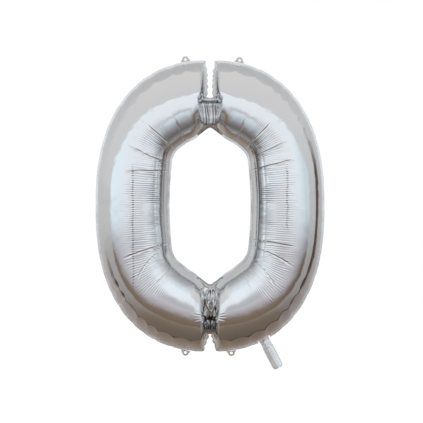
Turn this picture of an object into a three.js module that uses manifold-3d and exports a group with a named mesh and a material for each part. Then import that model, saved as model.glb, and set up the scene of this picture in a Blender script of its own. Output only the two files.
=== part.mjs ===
// A silver foil number balloon, the figure 0, inflated and ready to hang.
// Millimetres, +Z up, the front faces -Y. The origin lies on the upright centre line,
// level with the holes of the two top hanging tabs.
//
// Two foil sheets are welded together round the outer outline and round the hole of the 0.
// A slit at the top and another at the bottom let the sheets bend into two half rings,
// which stay joined by a gathered neck at each slit.

import * as THREE from "three";
import { mergeVertices } from "three/addons/utils/BufferGeometryUtils.js";
import Module from "manifold-3d";

const wasm = await Module();
wasm.setup();

const radians = THREE.MathUtils.degToRad;

// ---- Driving dimensions ------------------------------------------------------------

// Outer outline of the inflated foil, without the welded rim: a superellipse.
const OUTER_HALF_WIDTH = 334;
const OUTER_HALF_HEIGHT = 427;
const OUTER_WIDTH_POWER = 2.34;
const OUTER_HEIGHT_POWER = 2.39;

// Hole of the 0: bowed sides, round corners and straight slopes up to the necks.
const HOLE_HALF_WIDTH = 118.6;
const HOLE_BOW_RADIUS = 1100;
const HOLE_CORNER_RADIUS = 55;
const HOLE_SIDE_HEIGHT = 130;
const HOLE_SLOPE = radians(38.5);

// Cross-section of the inflated limb.
const DEPTH_TO_WIDTH = 0.92;
const FOIL_WALL = 1;

// Slits: straight edges that lean apart, and the blunt ends of the half rings beside them.
const SLIT_FOOT_X = 3;
const SLIT_LEAN = radians(5.3);
const CAP_LENGTH = 32;

// Gathered necks, round about the fold line between the halves.
const NECK_RADIUS = 20;
const NECK_HEIGHT = 87;
const NECK_ROUNDING = 9;
const NECK_WINDOW_WIDTH = 22;
const NECK_WINDOW_MARGIN = 14;

// Welded rim.
const SEAM_WIDTH = 5.5;
const SEAM_OVERLAP = 2;
const SEAM_THICKNESS = 1.2;

// Hanging tabs, cut out of the rim film. Each stands at its own place along the rim.
const TAB_BASE_WIDTH = 30;
const TAB_TOP_RADIUS = 9.5;
const TAB_HOLE_RADIUS = 4;
const TAB_HOLE_TO_RIM = 6.8;
const TAB_FLARE = radians(16);
const TAB_THICKNESS = 0.8;
const TABS = [
  { name: "top_left_tab", x: -71, side: 1 },
  { name: "top_right_tab", x: 85, side: 1 },
  { name: "bottom_left_tab", x: -71, side: -1 },
  { name: "bottom_right_tab", x: 62, side: -1 },
];

// Inflation tail: a flat pouch with welded edges and an open mouth at its tip.
const TAIL_X = 159;
const TAIL_WIDTH = 33;
const TAIL_LENGTH = 92;
const TAIL_EDGE_WELD = 3;
const TAIL_MOUTH_SAG = 5.4;
const TAIL_ROOT_SAG = 0.8;
const TAIL_ARCH_POWER = 0.8;
const TAIL_SWELL_LENGTH = 24;
const TAIL_TIP_LENGTH = 12;
const TAIL_TIP_TAPER = 0.4;
const TAIL_WALL = 0.6;

// Self-sealing valve: two films that lie together inside the right half behind the tail.
const VALVE_WIDTH = 26;
const VALVE_LENGTH = 76;
const VALVE_THICKNESS = 0.6;
const VALVE_PARTING = 1.6;
const VALVE_INSET = 0.6;

// Clearances.
const WELD_GAP = 0.3;
const FLAP_GAP = 1;
const FOLD_CLEARANCE = 1;
const NECK_END_GAP = 4;
const TAIL_SIDE_GAP = 1;
const CUT_MARGIN = 1.5;

// Facets.
const SECTION_STEPS = 10;
const BOW_STEPS = 3;
const CORNER_STEPS = 4;
const SLOPE_STEPS = 3;
const CAP_ANGLES = [66, 44, 24, 10, 0].map(radians);
const RIM_STEPS = 44;
const NECK_STEPS = 20;
const ROUNDING_STEPS = 2;
const TAB_ARC_STEPS = 10;
const TAIL_STEPS_ACROSS = 12;
const TAIL_SWELL_STEPS = 4;
const TAIL_TIP_STEPS = 4;

// Evenly spaced values from one end to the other, both ends included.
const spaced = (from, to, steps) =>
  Array.from({ length: steps + 1 }, (_, i) => THREE.MathUtils.lerp(from, to, i / steps));

// ---- Outlines ----------------------------------------------------------------------

function rimValue(point) {
  const across = Math.abs(point.x / OUTER_HALF_WIDTH) ** OUTER_WIDTH_POWER;
  const up = Math.abs(point.y / OUTER_HALF_HEIGHT) ** OUTER_HEIGHT_POWER;
  return across + up - 1;
}

// Angle parameter of the outer outline at a distance x from the centre line.
function rimAngle(x) {
  return Math.acos((x / OUTER_HALF_WIDTH) ** (OUTER_WIDTH_POWER / 2));
}

function rimPoint(angle) {
  const x = OUTER_HALF_WIDTH * Math.abs(Math.cos(angle)) ** (2 / OUTER_WIDTH_POWER);
  const z = OUTER_HALF_HEIGHT * Math.abs(Math.sin(angle)) ** (2 / OUTER_HEIGHT_POWER);
  return new THREE.Vector2(x, Math.sign(Math.sin(angle)) * z);
}

// A point of the outer outline above (side 1) or below (side -1), and the way out of the balloon there.
function rimFrame(x, side) {
  const point = rimPoint(rimAngle(Math.abs(x)) * side);
  const across = OUTER_WIDTH_POWER * (point.x / OUTER_HALF_WIDTH) ** (OUTER_WIDTH_POWER - 1);
  const up = OUTER_HEIGHT_POWER * (Math.abs(point.y) / OUTER_HALF_HEIGHT) ** (OUTER_HEIGHT_POWER - 1);
  const outX = (Math.sign(x) * across) / OUTER_HALF_WIDTH;
  const outZ = (side * up) / OUTER_HALF_HEIGHT;
  return { x, z: point.y, turn: Math.atan2(outX, outZ) };
}

function distanceToRim(start, direction) {
  let near = 0;
  let far = OUTER_HALF_WIDTH + OUTER_HALF_HEIGHT;
  for (let step = 0; step < 40; step += 1) {
    const middle = (near + far) / 2;
    const inside = rimValue(start.clone().addScaledVector(direction, middle)) < 0;
    if (inside) near = middle;
    else far = middle;
  }
  return near;
}

const polar = (angle, radius = 1) =>
  new THREE.Vector2(Math.cos(angle), Math.sin(angle)).multiplyScalar(radius);

// The hole's corner arc runs from the end of the bowed side to the start of the slope.
const sideEndAngle = Math.asin(HOLE_SIDE_HEIGHT / HOLE_BOW_RADIUS);
const slopeAngle = Math.PI / 2 - HOLE_SLOPE;
const bowCentre = new THREE.Vector2(HOLE_HALF_WIDTH - HOLE_BOW_RADIUS, 0);
const cornerCentre = bowCentre.clone().add(polar(sideEndAngle, HOLE_BOW_RADIUS - HOLE_CORNER_RADIUS));
const slopeStart = cornerCentre.clone().add(polar(slopeAngle, HOLE_CORNER_RADIUS));

const slopePoint = (x) =>
  new THREE.Vector2(x, slopeStart.y + (slopeStart.x - x) * Math.tan(HOLE_SLOPE));

const slitAngle = Math.PI / 2 - SLIT_LEAN;
const neckFoot = slopePoint(SLIT_FOOT_X).y;
const slitEnd = neckFoot + NECK_HEIGHT;

// ---- Stations across a limb --------------------------------------------------------

// A line across the limb from the hole's edge to the outer outline. Swell is the share of
// the full depth that the limb has there: less than 1 only on the blunt end at the slit.
function makeStation(inner, angle, swell = 1) {
  const direction = polar(angle);
  const outer = inner.clone().addScaledVector(direction, distanceToRim(inner, direction));
  return { inner, outer, direction, swell };
}

// Stations of the upper quarter, from mid-height to the slit.
function quarterStations(inset) {
  const bow = spaced(0, sideEndAngle, BOW_STEPS).slice(0, -1);
  const corner = spaced(sideEndAngle, slopeAngle, CORNER_STEPS);
  const slope = spaced(0, 1, SLOPE_STEPS).slice(1);
  const capFoot = SLIT_FOOT_X + CAP_LENGTH;
  return [
    ...bow.map((angle) => makeStation(bowCentre.clone().add(polar(angle, HOLE_BOW_RADIUS)), angle)),
    ...corner.map((angle) => makeStation(cornerCentre.clone().add(polar(angle, HOLE_CORNER_RADIUS)), angle)),
    ...slope.map((share) => {
      const foot = slopePoint(THREE.MathUtils.lerp(slopeStart.x, capFoot, share));
      return makeStation(foot, THREE.MathUtils.lerp(slopeAngle, slitAngle, share));
    }),
    ...CAP_ANGLES.map((angle) => {
      const along = inset + (CAP_LENGTH - inset) * (1 - Math.cos(angle));
      return makeStation(slopePoint(SLIT_FOOT_X + along), slitAngle, Math.sin(angle));
    }),
  ];
}

const flipPoint = (point) => new THREE.Vector2(point.x, -point.y);

// Stations of a whole half ring, from the top slit round to the bottom slit.
function halfStations(inset) {
  const upper = quarterStations(inset);
  const lower = upper.slice(1).map((station) => ({
    inner: flipPoint(station.inner),
    outer: flipPoint(station.outer),
    direction: flipPoint(station.direction),
    swell: station.swell,
  }));
  return [...upper.reverse(), ...lower];
}

// ---- Solids ------------------------------------------------------------------------

function signedVolume(geometry) {
  const position = geometry.getAttribute("position");
  const corners = [0, 1, 2].map(() => new THREE.Vector3());
  let volume = 0;
  for (let i = 0; i < geometry.index.count; i += 3) {
    corners.forEach((corner, k) => corner.fromBufferAttribute(position, geometry.index.getX(i + k)));
    volume += corners[0].dot(corners[1].cross(corners[2])) / 6;
  }
  return volume;
}

// A closed sheet between two grids of points. Each grid is a list of equally long rows.
function sheetGeometry(outerRows, innerRows) {
  const rows = outerRows.length;
  const columns = outerRows[0].length;
  const layer = rows * columns;
  const points = [...outerRows.flat(), ...innerRows.flat()];
  const index = [];
  const quad = (a, b, c, d) => index.push(a, b, c, a, c, d);
  const at = (row, column) => row * columns + column;
  for (let row = 0; row + 1 < rows; row += 1) {
    for (let column = 0; column + 1 < columns; column += 1) {
      const corners = [at(row, column), at(row, column + 1), at(row + 1, column + 1), at(row + 1, column)];
      quad(...corners);
      quad(...corners.map((corner) => corner + layer).reverse());
    }
    for (const column of [0, columns - 1]) {
      const edge = [at(row, column), at(row + 1, column)];
      if (column > 0) edge.reverse();
      quad(edge[0], edge[1], edge[1] + layer, edge[0] + layer);
    }
  }
  for (let column = 0; column + 1 < columns; column += 1) {
    for (const row of [0, rows - 1]) {
      const edge = [at(row, column + 1), at(row, column)];
      if (row > 0) edge.reverse();
      quad(edge[0], edge[1], edge[1] + layer, edge[0] + layer);
    }
  }
  const geometry = new THREE.BufferGeometry().setFromPoints(points);
  geometry.setIndex(index);
  if (signedVolume(geometry) < 0) index.reverse();
  geometry.setIndex(index);
  geometry.computeVertexNormals();
  return geometry;
}

function toSolid(geometry) {
  const bare = new THREE.BufferGeometry().setAttribute("position", geometry.getAttribute("position"));
  if (geometry.index) bare.setIndex(geometry.index);
  const merged = mergeVertices(bare, 1e-3);
  const vertProperties = merged.getAttribute("position").array;
  return new wasm.Manifold(new wasm.Mesh({ numProp: 3, vertProperties, triVerts: merged.index.array }));
}

function fromSolid(solid) {
  const mesh = solid.getMesh();
  const geometry = new THREE.BufferGeometry();
  geometry.setAttribute("position", new THREE.BufferAttribute(mesh.vertProperties, 3));
  geometry.setIndex(new THREE.BufferAttribute(mesh.triVerts, 1));
  geometry.computeVertexNormals();
  return geometry;
}

function boxGeometry(low, high) {
  const size = high.map((value, k) => value - low[k]);
  const centre = high.map((value, k) => (value + low[k]) / 2);
  return new THREE.BoxGeometry(...size).translate(...centre);
}

const uprightCylinder = (radius, low, high) =>
  new THREE.CylinderGeometry(radius, radius, high - low, NECK_STEPS)
    .rotateX(Math.PI / 2)
    .translate(0, 0, (low + high) / 2);

// A flat plate cut to a shape drawn in X and Z, with its thickness centred on Y = 0.
const plateGeometry = (shape, thickness) =>
  new THREE.ExtrudeGeometry(shape, { depth: thickness, bevelEnabled: false, curveSegments: TAB_ARC_STEPS })
    .translate(0, 0, -thickness / 2)
    .rotateX(Math.PI / 2);

// ---- Sub-parts ---------------------------------------------------------------------

// One face of one half ring. Face is -1 for the front sheet and 1 for the rear sheet.
function foilGeometry(half, face) {
  const lift = SEAM_THICKNESS / 2 + WELD_GAP;
  const surface = (inset) =>
    halfStations(inset).map((station) => {
      const reach = station.inner.distanceTo(station.outer) / 2;
      const depth = (DEPTH_TO_WIDTH * reach - inset) * station.swell;
      const middle = station.inner.clone().lerp(station.outer, 0.5);
      return Array.from({ length: SECTION_STEPS + 1 }, (_, step) => {
        const turn = (Math.PI * step) / SECTION_STEPS;
        const spot = middle.clone().addScaledVector(station.direction, -(reach - inset) * Math.cos(turn));
        return new THREE.Vector3(half * spot.x, face * (lift + depth * Math.sin(turn)), spot.y);
      });
    });
  let solid = toSolid(sheetGeometry(surface(0), surface(FOIL_WALL)));
  const low = neckFoot + NECK_END_GAP - CUT_MARGIN;
  const high = slitEnd - NECK_END_GAP + CUT_MARGIN;
  for (const [from, to] of [[low, high], [-high, -low]]) {
    solid = solid.subtract(toSolid(uprightCylinder(NECK_RADIUS + FOLD_CLEARANCE, from, to)));
  }
  return fromSolid(solid);
}

// A flat band along an open path, reaching from inside the path's foil to the rim's free edge.
function bandGeometry(path, half) {
  const normals = path.map((_, i) => {
    const before = path[Math.max(i - 1, 0)];
    const after = path[Math.min(i + 1, path.length - 1)];
    const arrive = path[i].clone().sub(before).normalize();
    const leave = after.clone().sub(path[i]).normalize();
    const along = arrive.clone().add(leave).normalize();
    const straight = arrive.lengthSq() > 0 ? arrive : leave;
    return new THREE.Vector2(along.y, -along.x).divideScalar(along.dot(straight));
  });
  const edge = (offset) =>
    path.map((point, i) => {
      const moved = point.clone().addScaledVector(normals[i], offset);
      return new THREE.Vector2(half * moved.x, moved.y);
    });
  const outline = [...edge(SEAM_WIDTH), ...edge(-SEAM_OVERLAP).reverse()];
  return plateGeometry(new THREE.Shape(outline), SEAM_THICKNESS);
}

const rimArc = (from, to) => {
  const steps = Math.max(2, Math.round((RIM_STEPS * Math.abs(to - from)) / Math.PI));
  return spaced(from, to, steps).map(rimPoint);
};

// The slit's edge runs from the neck to the corner where it meets the outer outline.
const slitLine = makeStation(slopePoint(SLIT_FOOT_X), slitAngle);
const slitCorner = rimAngle(slitLine.outer.x);
const slitStart = slitLine.inner
  .clone()
  .addScaledVector(slitLine.direction, (slitEnd - neckFoot) / slitLine.direction.y);

// The weld starts at the neck, climbs the slit's edge and follows the outer outline down.
const upperRim = (lastAngle) => [slitStart, ...rimArc(slitCorner, lastAngle)];
const lowerRim = (firstAngle) => [...rimArc(firstAngle, -slitCorner), flipPoint(slitStart)];

// The weld round the hole ends where its free edge would reach the fold line.
const seamFoot = slopePoint(SEAM_WIDTH * Math.sin(HOLE_SLOPE) + FOLD_CLEARANCE);

function holeEdge() {
  const edge = halfStations(0).map((station) => station.inner);
  return [seamFoot, ...edge.filter((point) => point.x > seamFoot.x), flipPoint(seamFoot)];
}

// One wall of a gathered neck: half of a closed sleeve with a window towards each half ring.
function neckGeometry(face, side) {
  const low = neckFoot + NECK_END_GAP;
  const high = slitEnd - NECK_END_GAP;
  const sleeve = (inset) => {
    const profile = new THREE.Path();
    const radius = NECK_RADIUS - inset;
    const corner = NECK_ROUNDING - inset;
    profile.moveTo(0, low + inset);
    profile.lineTo(radius - corner, low + inset);
    profile.absarc(radius - corner, low + inset + corner, corner, -Math.PI / 2, 0, false);
    profile.absarc(radius - corner, high - inset - corner, corner, 0, Math.PI / 2, false);
    profile.lineTo(0, high - inset);
    return toSolid(new THREE.LatheGeometry(profile.getPoints(ROUNDING_STEPS), NECK_STEPS).rotateX(Math.PI / 2));
  };
  const reach = NECK_RADIUS * 2;
  const window = boxGeometry(
    [-reach, -NECK_WINDOW_WIDTH / 2, low + NECK_WINDOW_MARGIN],
    [reach, NECK_WINDOW_WIDTH / 2, high - NECK_WINDOW_MARGIN],
  );
  const nearY = face * side * WELD_GAP;
  const farY = face * side * reach;
  const keep = boxGeometry(
    [-reach, Math.min(nearY, farY), low - reach],
    [reach, Math.max(nearY, farY), high + reach],
  );
  const wall = sleeve(0).subtract(sleeve(FOIL_WALL)).subtract(toSolid(window)).intersect(toSolid(keep));
  const geometry = fromSolid(wall);
  return side > 0 ? geometry : geometry.rotateX(Math.PI);
}

// A hanging tab in its own frame: Z leads out of the balloon from the foil's edge.
const tabHoleHeight = SEAM_WIDTH + TAB_HOLE_TO_RIM;

function tabGeometry() {
  const base = SEAM_WIDTH + FLAP_GAP;
  const shape = new THREE.Shape();
  shape.moveTo(-TAB_BASE_WIDTH / 2, base);
  shape.lineTo(TAB_BASE_WIDTH / 2, base);
  shape.absarc(0, tabHoleHeight, TAB_TOP_RADIUS, TAB_FLARE, Math.PI - TAB_FLARE, false);
  const hole = new THREE.Path();
  hole.absarc(0, tabHoleHeight, TAB_HOLE_RADIUS, 0, Math.PI * 2, false);
  shape.holes.push(hole);
  return plateGeometry(shape, TAB_THICKNESS);
}

// One sheet of the tail in its own frame: Z leads from the rim to the mouth.
function tailGeometry(face) {
  const root = SEAM_WIDTH - TAIL_SIDE_GAP / 2;
  const heights = [
    ...spaced(0, TAIL_SWELL_LENGTH, TAIL_SWELL_STEPS),
    ...spaced(TAIL_LENGTH - TAIL_TIP_LENGTH, TAIL_LENGTH, TAIL_TIP_STEPS),
  ];
  const archShare = 1 - (2 * TAIL_EDGE_WELD) / TAIL_WIDTH;
  const surface = (inset) =>
    heights.map((along) => {
      const tip = Math.max(0, along - TAIL_LENGTH + TAIL_TIP_LENGTH) / TAIL_TIP_LENGTH;
      const taper = 1 - TAIL_TIP_TAPER * (1 - Math.sqrt(1 - tip * tip));
      const growth = THREE.MathUtils.smoothstep(along, 0, TAIL_SWELL_LENGTH);
      const sag = THREE.MathUtils.lerp(TAIL_ROOT_SAG, TAIL_MOUTH_SAG, growth);
      return spaced(-1, 1, TAIL_STEPS_ACROSS).map((share) => {
        const arch = Math.cos((Math.min(1, Math.abs(share) / archShare) * Math.PI) / 2) ** TAIL_ARCH_POWER;
        const y = WELD_GAP / 2 + TAIL_WALL - inset + sag * arch;
        return new THREE.Vector3((share * taper * TAIL_WIDTH) / 2, face * y, root + along);
      });
    });
  return sheetGeometry(surface(0), surface(TAIL_WALL));
}

// How far the foil's facets lie inside the smooth outline, at a distance across the tail's frame.
function facetDrop(place, across) {
  const origin = new THREE.Vector2(place.x, place.z);
  const centre = new THREE.Vector2();
  const edge = halfStations(0).map(({ outer }) => outer.clone().sub(origin).rotateAround(centre, place.turn));
  const next = edge.findIndex((point) => point.x > across);
  const share = (across - edge[next - 1].x) / (edge[next].x - edge[next - 1].x);
  return -THREE.MathUtils.lerp(edge[next - 1].y, edge[next].y, share);
}

// One valve film in the tail's frame, inside the balloon. It starts inside the foil's facets.
function valveGeometry(face, place) {
  const drops = [-VALVE_WIDTH / 2, 0, VALVE_WIDTH / 2].map((across) => facetDrop(place, across));
  const start = -Math.max(...drops) - FOIL_WALL - VALVE_INSET;
  const near = (face * VALVE_PARTING) / 2;
  const far = near + face * VALVE_THICKNESS;
  return boxGeometry(
    [-VALVE_WIDTH / 2, Math.min(near, far), start - VALVE_LENGTH],
    [VALVE_WIDTH / 2, Math.max(near, far), start],
  );
}

// ---- Finishes ----------------------------------------------------------------------

const foilFinish = (color) => new THREE.MeshStandardMaterial({ color, roughness: 0.16, metalness: 1 });
const rimFinish = () => new THREE.MeshStandardMaterial({ color: 0xb9b8bb, roughness: 0.34, metalness: 0.9 });
const tabFinish = () => new THREE.MeshStandardMaterial({ color: 0xcfc6c4, roughness: 0.4, metalness: 0.6 });
const filmFinish = () => new THREE.MeshStandardMaterial({ color: 0xdfe4e6, roughness: 0.25, metalness: 0 });

function addPart(parent, name, geometry, material) {
  const mesh = new THREE.Mesh(geometry, material);
  mesh.name = name;
  parent.add(mesh);
}

// ---- Assembly ----------------------------------------------------------------------

const balloon = new THREE.Group();
const tailPlace = rimFrame(TAIL_X, -1);

const HALVES = [
  { name: "left", half: -1 },
  { name: "right", half: 1 },
];
const FACES = [
  { name: "front", face: -1 },
  { name: "rear", face: 1 },
];
const NECKS = [
  { name: "top_neck", side: 1 },
  { name: "bottom_neck", side: -1 },
];

for (const { name, half } of HALVES) {
  for (const { name: faceName, face } of FACES) {
    addPart(balloon, `${name}_${faceName}_foil`, foilGeometry(half, face), foilFinish(0xc9cbd2));
  }
  addPart(balloon, `${name}_inner_seam`, bandGeometry(holeEdge(), half), rimFinish());
}

addPart(
  balloon,
  "left_outer_seam",
  bandGeometry([...upperRim(0), ...lowerRim(0).slice(1)].reverse(), -1),
  rimFinish(),
);

// The right half's weld stops on either side of the tail.
const tailReach = (TAIL_WIDTH / 2 + TAIL_SIDE_GAP) * Math.abs(Math.cos(tailPlace.turn));
const aboveTail = -rimAngle(TAIL_X + tailReach);
const belowTail = -rimAngle(TAIL_X - tailReach);
addPart(balloon, "right_outer_seam", bandGeometry(upperRim(aboveTail).reverse(), 1), rimFinish());
addPart(balloon, "right_heel_seam", bandGeometry(lowerRim(belowTail).reverse(), 1), rimFinish());

for (const { name, side } of NECKS) {
  for (const { name: faceName, face } of FACES) {
    addPart(balloon, `${name}_${faceName}`, neckGeometry(face, side), foilFinish(0xb4b2b4));
  }
}

function addRimGroup(place) {
  const group = new THREE.Group();
  group.position.set(place.x, 0, place.z);
  group.rotation.y = place.turn;
  balloon.add(group);
  return group;
}

for (const { name, x, side } of TABS) {
  addPart(addRimGroup(rimFrame(x, side)), name, tabGeometry(), tabFinish());
}

const tail = addRimGroup(tailPlace);
for (const { name, face } of FACES) {
  addPart(tail, `tail_${name}_foil`, tailGeometry(face), foilFinish(0xd8dce2));
  addPart(tail, `valve_${name}_film`, valveGeometry(face, tailPlace), filmFinish());
}

// The origin sits level with the top tabs' holes.
const topTabs = TABS.filter((tab) => tab.side > 0);
const holeLevels = topTabs.map(({ x, side }) => {
  const place = rimFrame(x, side);
  return place.z + tabHoleHeight * Math.cos(place.turn);
});
balloon.position.z = -holeLevels.reduce((sum, level) => sum + level, 0) / holeLevels.length;

const part = new THREE.Group();
part.add(balloon);

export default part;
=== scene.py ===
"""Looks of a silver foil number balloon, the figure 0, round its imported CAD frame.

Metres, +Z up, the front faces -Y. The two inflated half rings, their welded rims, the
gathered necks, the hanging tabs and the tail are built as fine grids of film.
"""

import logging
import math
from collections.abc import Callable
from dataclasses import dataclass
from enum import Enum

import bpy
import numpy as np
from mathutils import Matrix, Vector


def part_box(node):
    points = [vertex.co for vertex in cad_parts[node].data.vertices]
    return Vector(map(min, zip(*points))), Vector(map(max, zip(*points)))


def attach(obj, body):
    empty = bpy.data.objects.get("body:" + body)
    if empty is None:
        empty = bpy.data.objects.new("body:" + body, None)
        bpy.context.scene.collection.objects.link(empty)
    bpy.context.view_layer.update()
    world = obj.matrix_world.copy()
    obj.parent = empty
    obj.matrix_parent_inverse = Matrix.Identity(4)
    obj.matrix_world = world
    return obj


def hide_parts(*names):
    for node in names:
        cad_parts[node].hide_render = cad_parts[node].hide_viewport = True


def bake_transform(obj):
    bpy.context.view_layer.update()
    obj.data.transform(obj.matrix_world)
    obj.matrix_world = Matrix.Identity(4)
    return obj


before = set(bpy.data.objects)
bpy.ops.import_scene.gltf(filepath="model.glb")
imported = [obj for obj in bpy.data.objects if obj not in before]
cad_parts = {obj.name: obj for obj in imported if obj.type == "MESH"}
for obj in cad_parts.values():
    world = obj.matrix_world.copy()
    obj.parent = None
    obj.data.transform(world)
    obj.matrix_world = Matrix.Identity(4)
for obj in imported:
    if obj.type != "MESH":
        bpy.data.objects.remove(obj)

LOG = logging.getLogger("foil_balloon")
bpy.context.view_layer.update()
MM = 0.001


class Side(Enum):
    """A named side of the balloon: its word in node and piece names, and its sign."""

    @property
    def label(self) -> str:
        """Return the side's word in node and piece names."""
        return self.value[0]

    @property
    def sign(self) -> float:
        """Return -1 on the left and at the front, 1 on the right and at the rear."""
        return self.value[1]


class Half(Side):
    """One half ring, to one side of the centre line."""

    LEFT = ("left", -1.0)
    RIGHT = ("right", 1.0)

    @property
    def body(self) -> str:
        """Return the name of the CAD body that the half rides on."""
        return f"{self.label}_half"


class Face(Side):
    """One sheet of film, by the way it faces along Y."""

    FRONT = ("front", -1.0)
    REAR = ("rear", 1.0)


# ---- Sizes -------------------------------------------------------------------------


@dataclass(frozen=True)
class Figure:
    """Sizes of the inflated figure, as the CAD has them."""

    half_width: float = 334 * MM
    half_height: float = 427 * MM
    width_power: float = 2.34
    height_power: float = 2.39
    hole_half_width: float = 118.6 * MM
    hole_bow_radius: float = 1.1
    hole_corner_radius: float = 55 * MM
    hole_side_height: float = 130 * MM
    hole_slope: float = math.radians(38.5)
    depth_to_width: float = 0.92
    slit_foot: float = 3 * MM
    slit_lean: float = math.radians(5.3)
    cap_length: float = 32 * MM
    neck_height: float = 87 * MM
    seam_width: float = 5.5 * MM


@dataclass(frozen=True)
class FilmGrid:
    """Fineness of the film grids.

    Attributes:
        row_spacing: Distance between stations along the limb.
        cap_rows: Number of stations on each blunt end.
        columns: Number of points across the film.
        dense: Points of each stretch of the hole's edge before it is spaced evenly.
        turn_taps: Reach of the softening of the stations' turn, in points.
        turn_spread: Spread of that softening, in points.
    """

    row_spacing: float = 1.5 * MM
    cap_rows: int = 26
    columns: int = 132
    dense: int = 400
    turn_taps: int = 120
    turn_spread: float = 42.0


FIGURE = Figure()
GRID = FilmGrid()
BISECTIONS = 46


# ---- Outlines and stations ---------------------------------------------------------


def polar(angle: np.ndarray | float, radius: float = 1.0) -> np.ndarray:
    """Return points at the angles on a circle about the origin, in X and Z."""
    return np.stack([np.cos(angle), np.sin(angle)], axis=-1) * radius


def smoothstep(low: float, high: float, value: np.ndarray) -> np.ndarray:
    """Return 0 below low, 1 above high and a smooth climb between them."""
    share = np.clip((value - low) / (high - low), 0.0, 1.0)
    return share * share * (3.0 - 2.0 * share)


def path_length(points: np.ndarray) -> np.ndarray:
    """Return the length along a polyline at each of its points."""
    steps = np.linalg.norm(np.diff(points, axis=0), axis=1)
    return np.concatenate([[0.0], np.cumsum(steps)])


class Outline:
    """The outer outline, the hole's outline and the slits, for the right half's top."""

    def __init__(self, figure: Figure) -> None:
        """Work out the arcs, the slope and the slit.

        Args:
            figure: Sizes of the figure.
        """
        self.figure = figure
        self.side_end = math.asin(figure.hole_side_height / figure.hole_bow_radius)
        self.slope_angle = math.pi / 2 - figure.hole_slope
        self.slit_angle = math.pi / 2 - figure.slit_lean
        self.bow_centre = np.array([figure.hole_half_width - figure.hole_bow_radius, 0.0])
        corner_offset = figure.hole_bow_radius - figure.hole_corner_radius
        self.corner_centre = self.bow_centre + polar(self.side_end, corner_offset)
        self.slope_start = self.corner_centre + polar(self.slope_angle, figure.hole_corner_radius)
        self.neck_foot = float(self.slope_points(np.array([figure.slit_foot]))[0, 1])
        self.slit_end = self.neck_foot + figure.neck_height

    def slope_points(self, x: np.ndarray) -> np.ndarray:
        """Return the points of the hole's straight slope at the distances x."""
        rise = (self.slope_start[0] - x) * math.tan(self.figure.hole_slope)
        return np.stack([x, self.slope_start[1] + rise], axis=-1)

    def rim_points(self, angle: np.ndarray) -> np.ndarray:
        """Return points of the outer outline at the angle parameters."""
        figure = self.figure
        x = figure.half_width * np.abs(np.cos(angle)) ** (2 / figure.width_power)
        z = figure.half_height * np.abs(np.sin(angle)) ** (2 / figure.height_power)
        return np.stack([x, np.sign(np.sin(angle)) * z], axis=-1)

    def rim_angle(self, x: float) -> float:
        """Return the angle parameter of the outer outline at the distance x."""
        return math.acos((x / self.figure.half_width) ** (self.figure.width_power / 2))

    def rim_hits(self, foot: np.ndarray, angle: np.ndarray) -> np.ndarray:
        """Return where rays from the foot points meet the outer outline.

        Args:
            foot: Starts of the rays, in X and Z.
            angle: Direction of each ray.
        """
        figure = self.figure
        direction = polar(angle)
        near = np.zeros(len(foot))
        far = np.full(len(foot), figure.half_width + figure.half_height)
        for _ in range(BISECTIONS):
            middle = (near + far) / 2
            spot = np.abs(foot + direction * middle[:, None])
            value = (spot[:, 0] / figure.half_width) ** figure.width_power
            value += (spot[:, 1] / figure.half_height) ** figure.height_power
            inside = value < 1.0
            near = np.where(inside, middle, near)
            far = np.where(inside, far, middle)
        return foot + direction * near[:, None]


@dataclass
class Stations:
    """Lines across the right half ring, in order from the bottom slit to the top slit.

    Attributes:
        foot: Points on the hole's edge, in X and Z.
        tip: Points on the outer outline.
        middle: Length along the limb's middle from mid-height, negative below it.
        rim: Length along the outer outline from mid-height, negative below it.
    """

    foot: np.ndarray
    tip: np.ndarray
    middle: np.ndarray
    rim: np.ndarray


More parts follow.
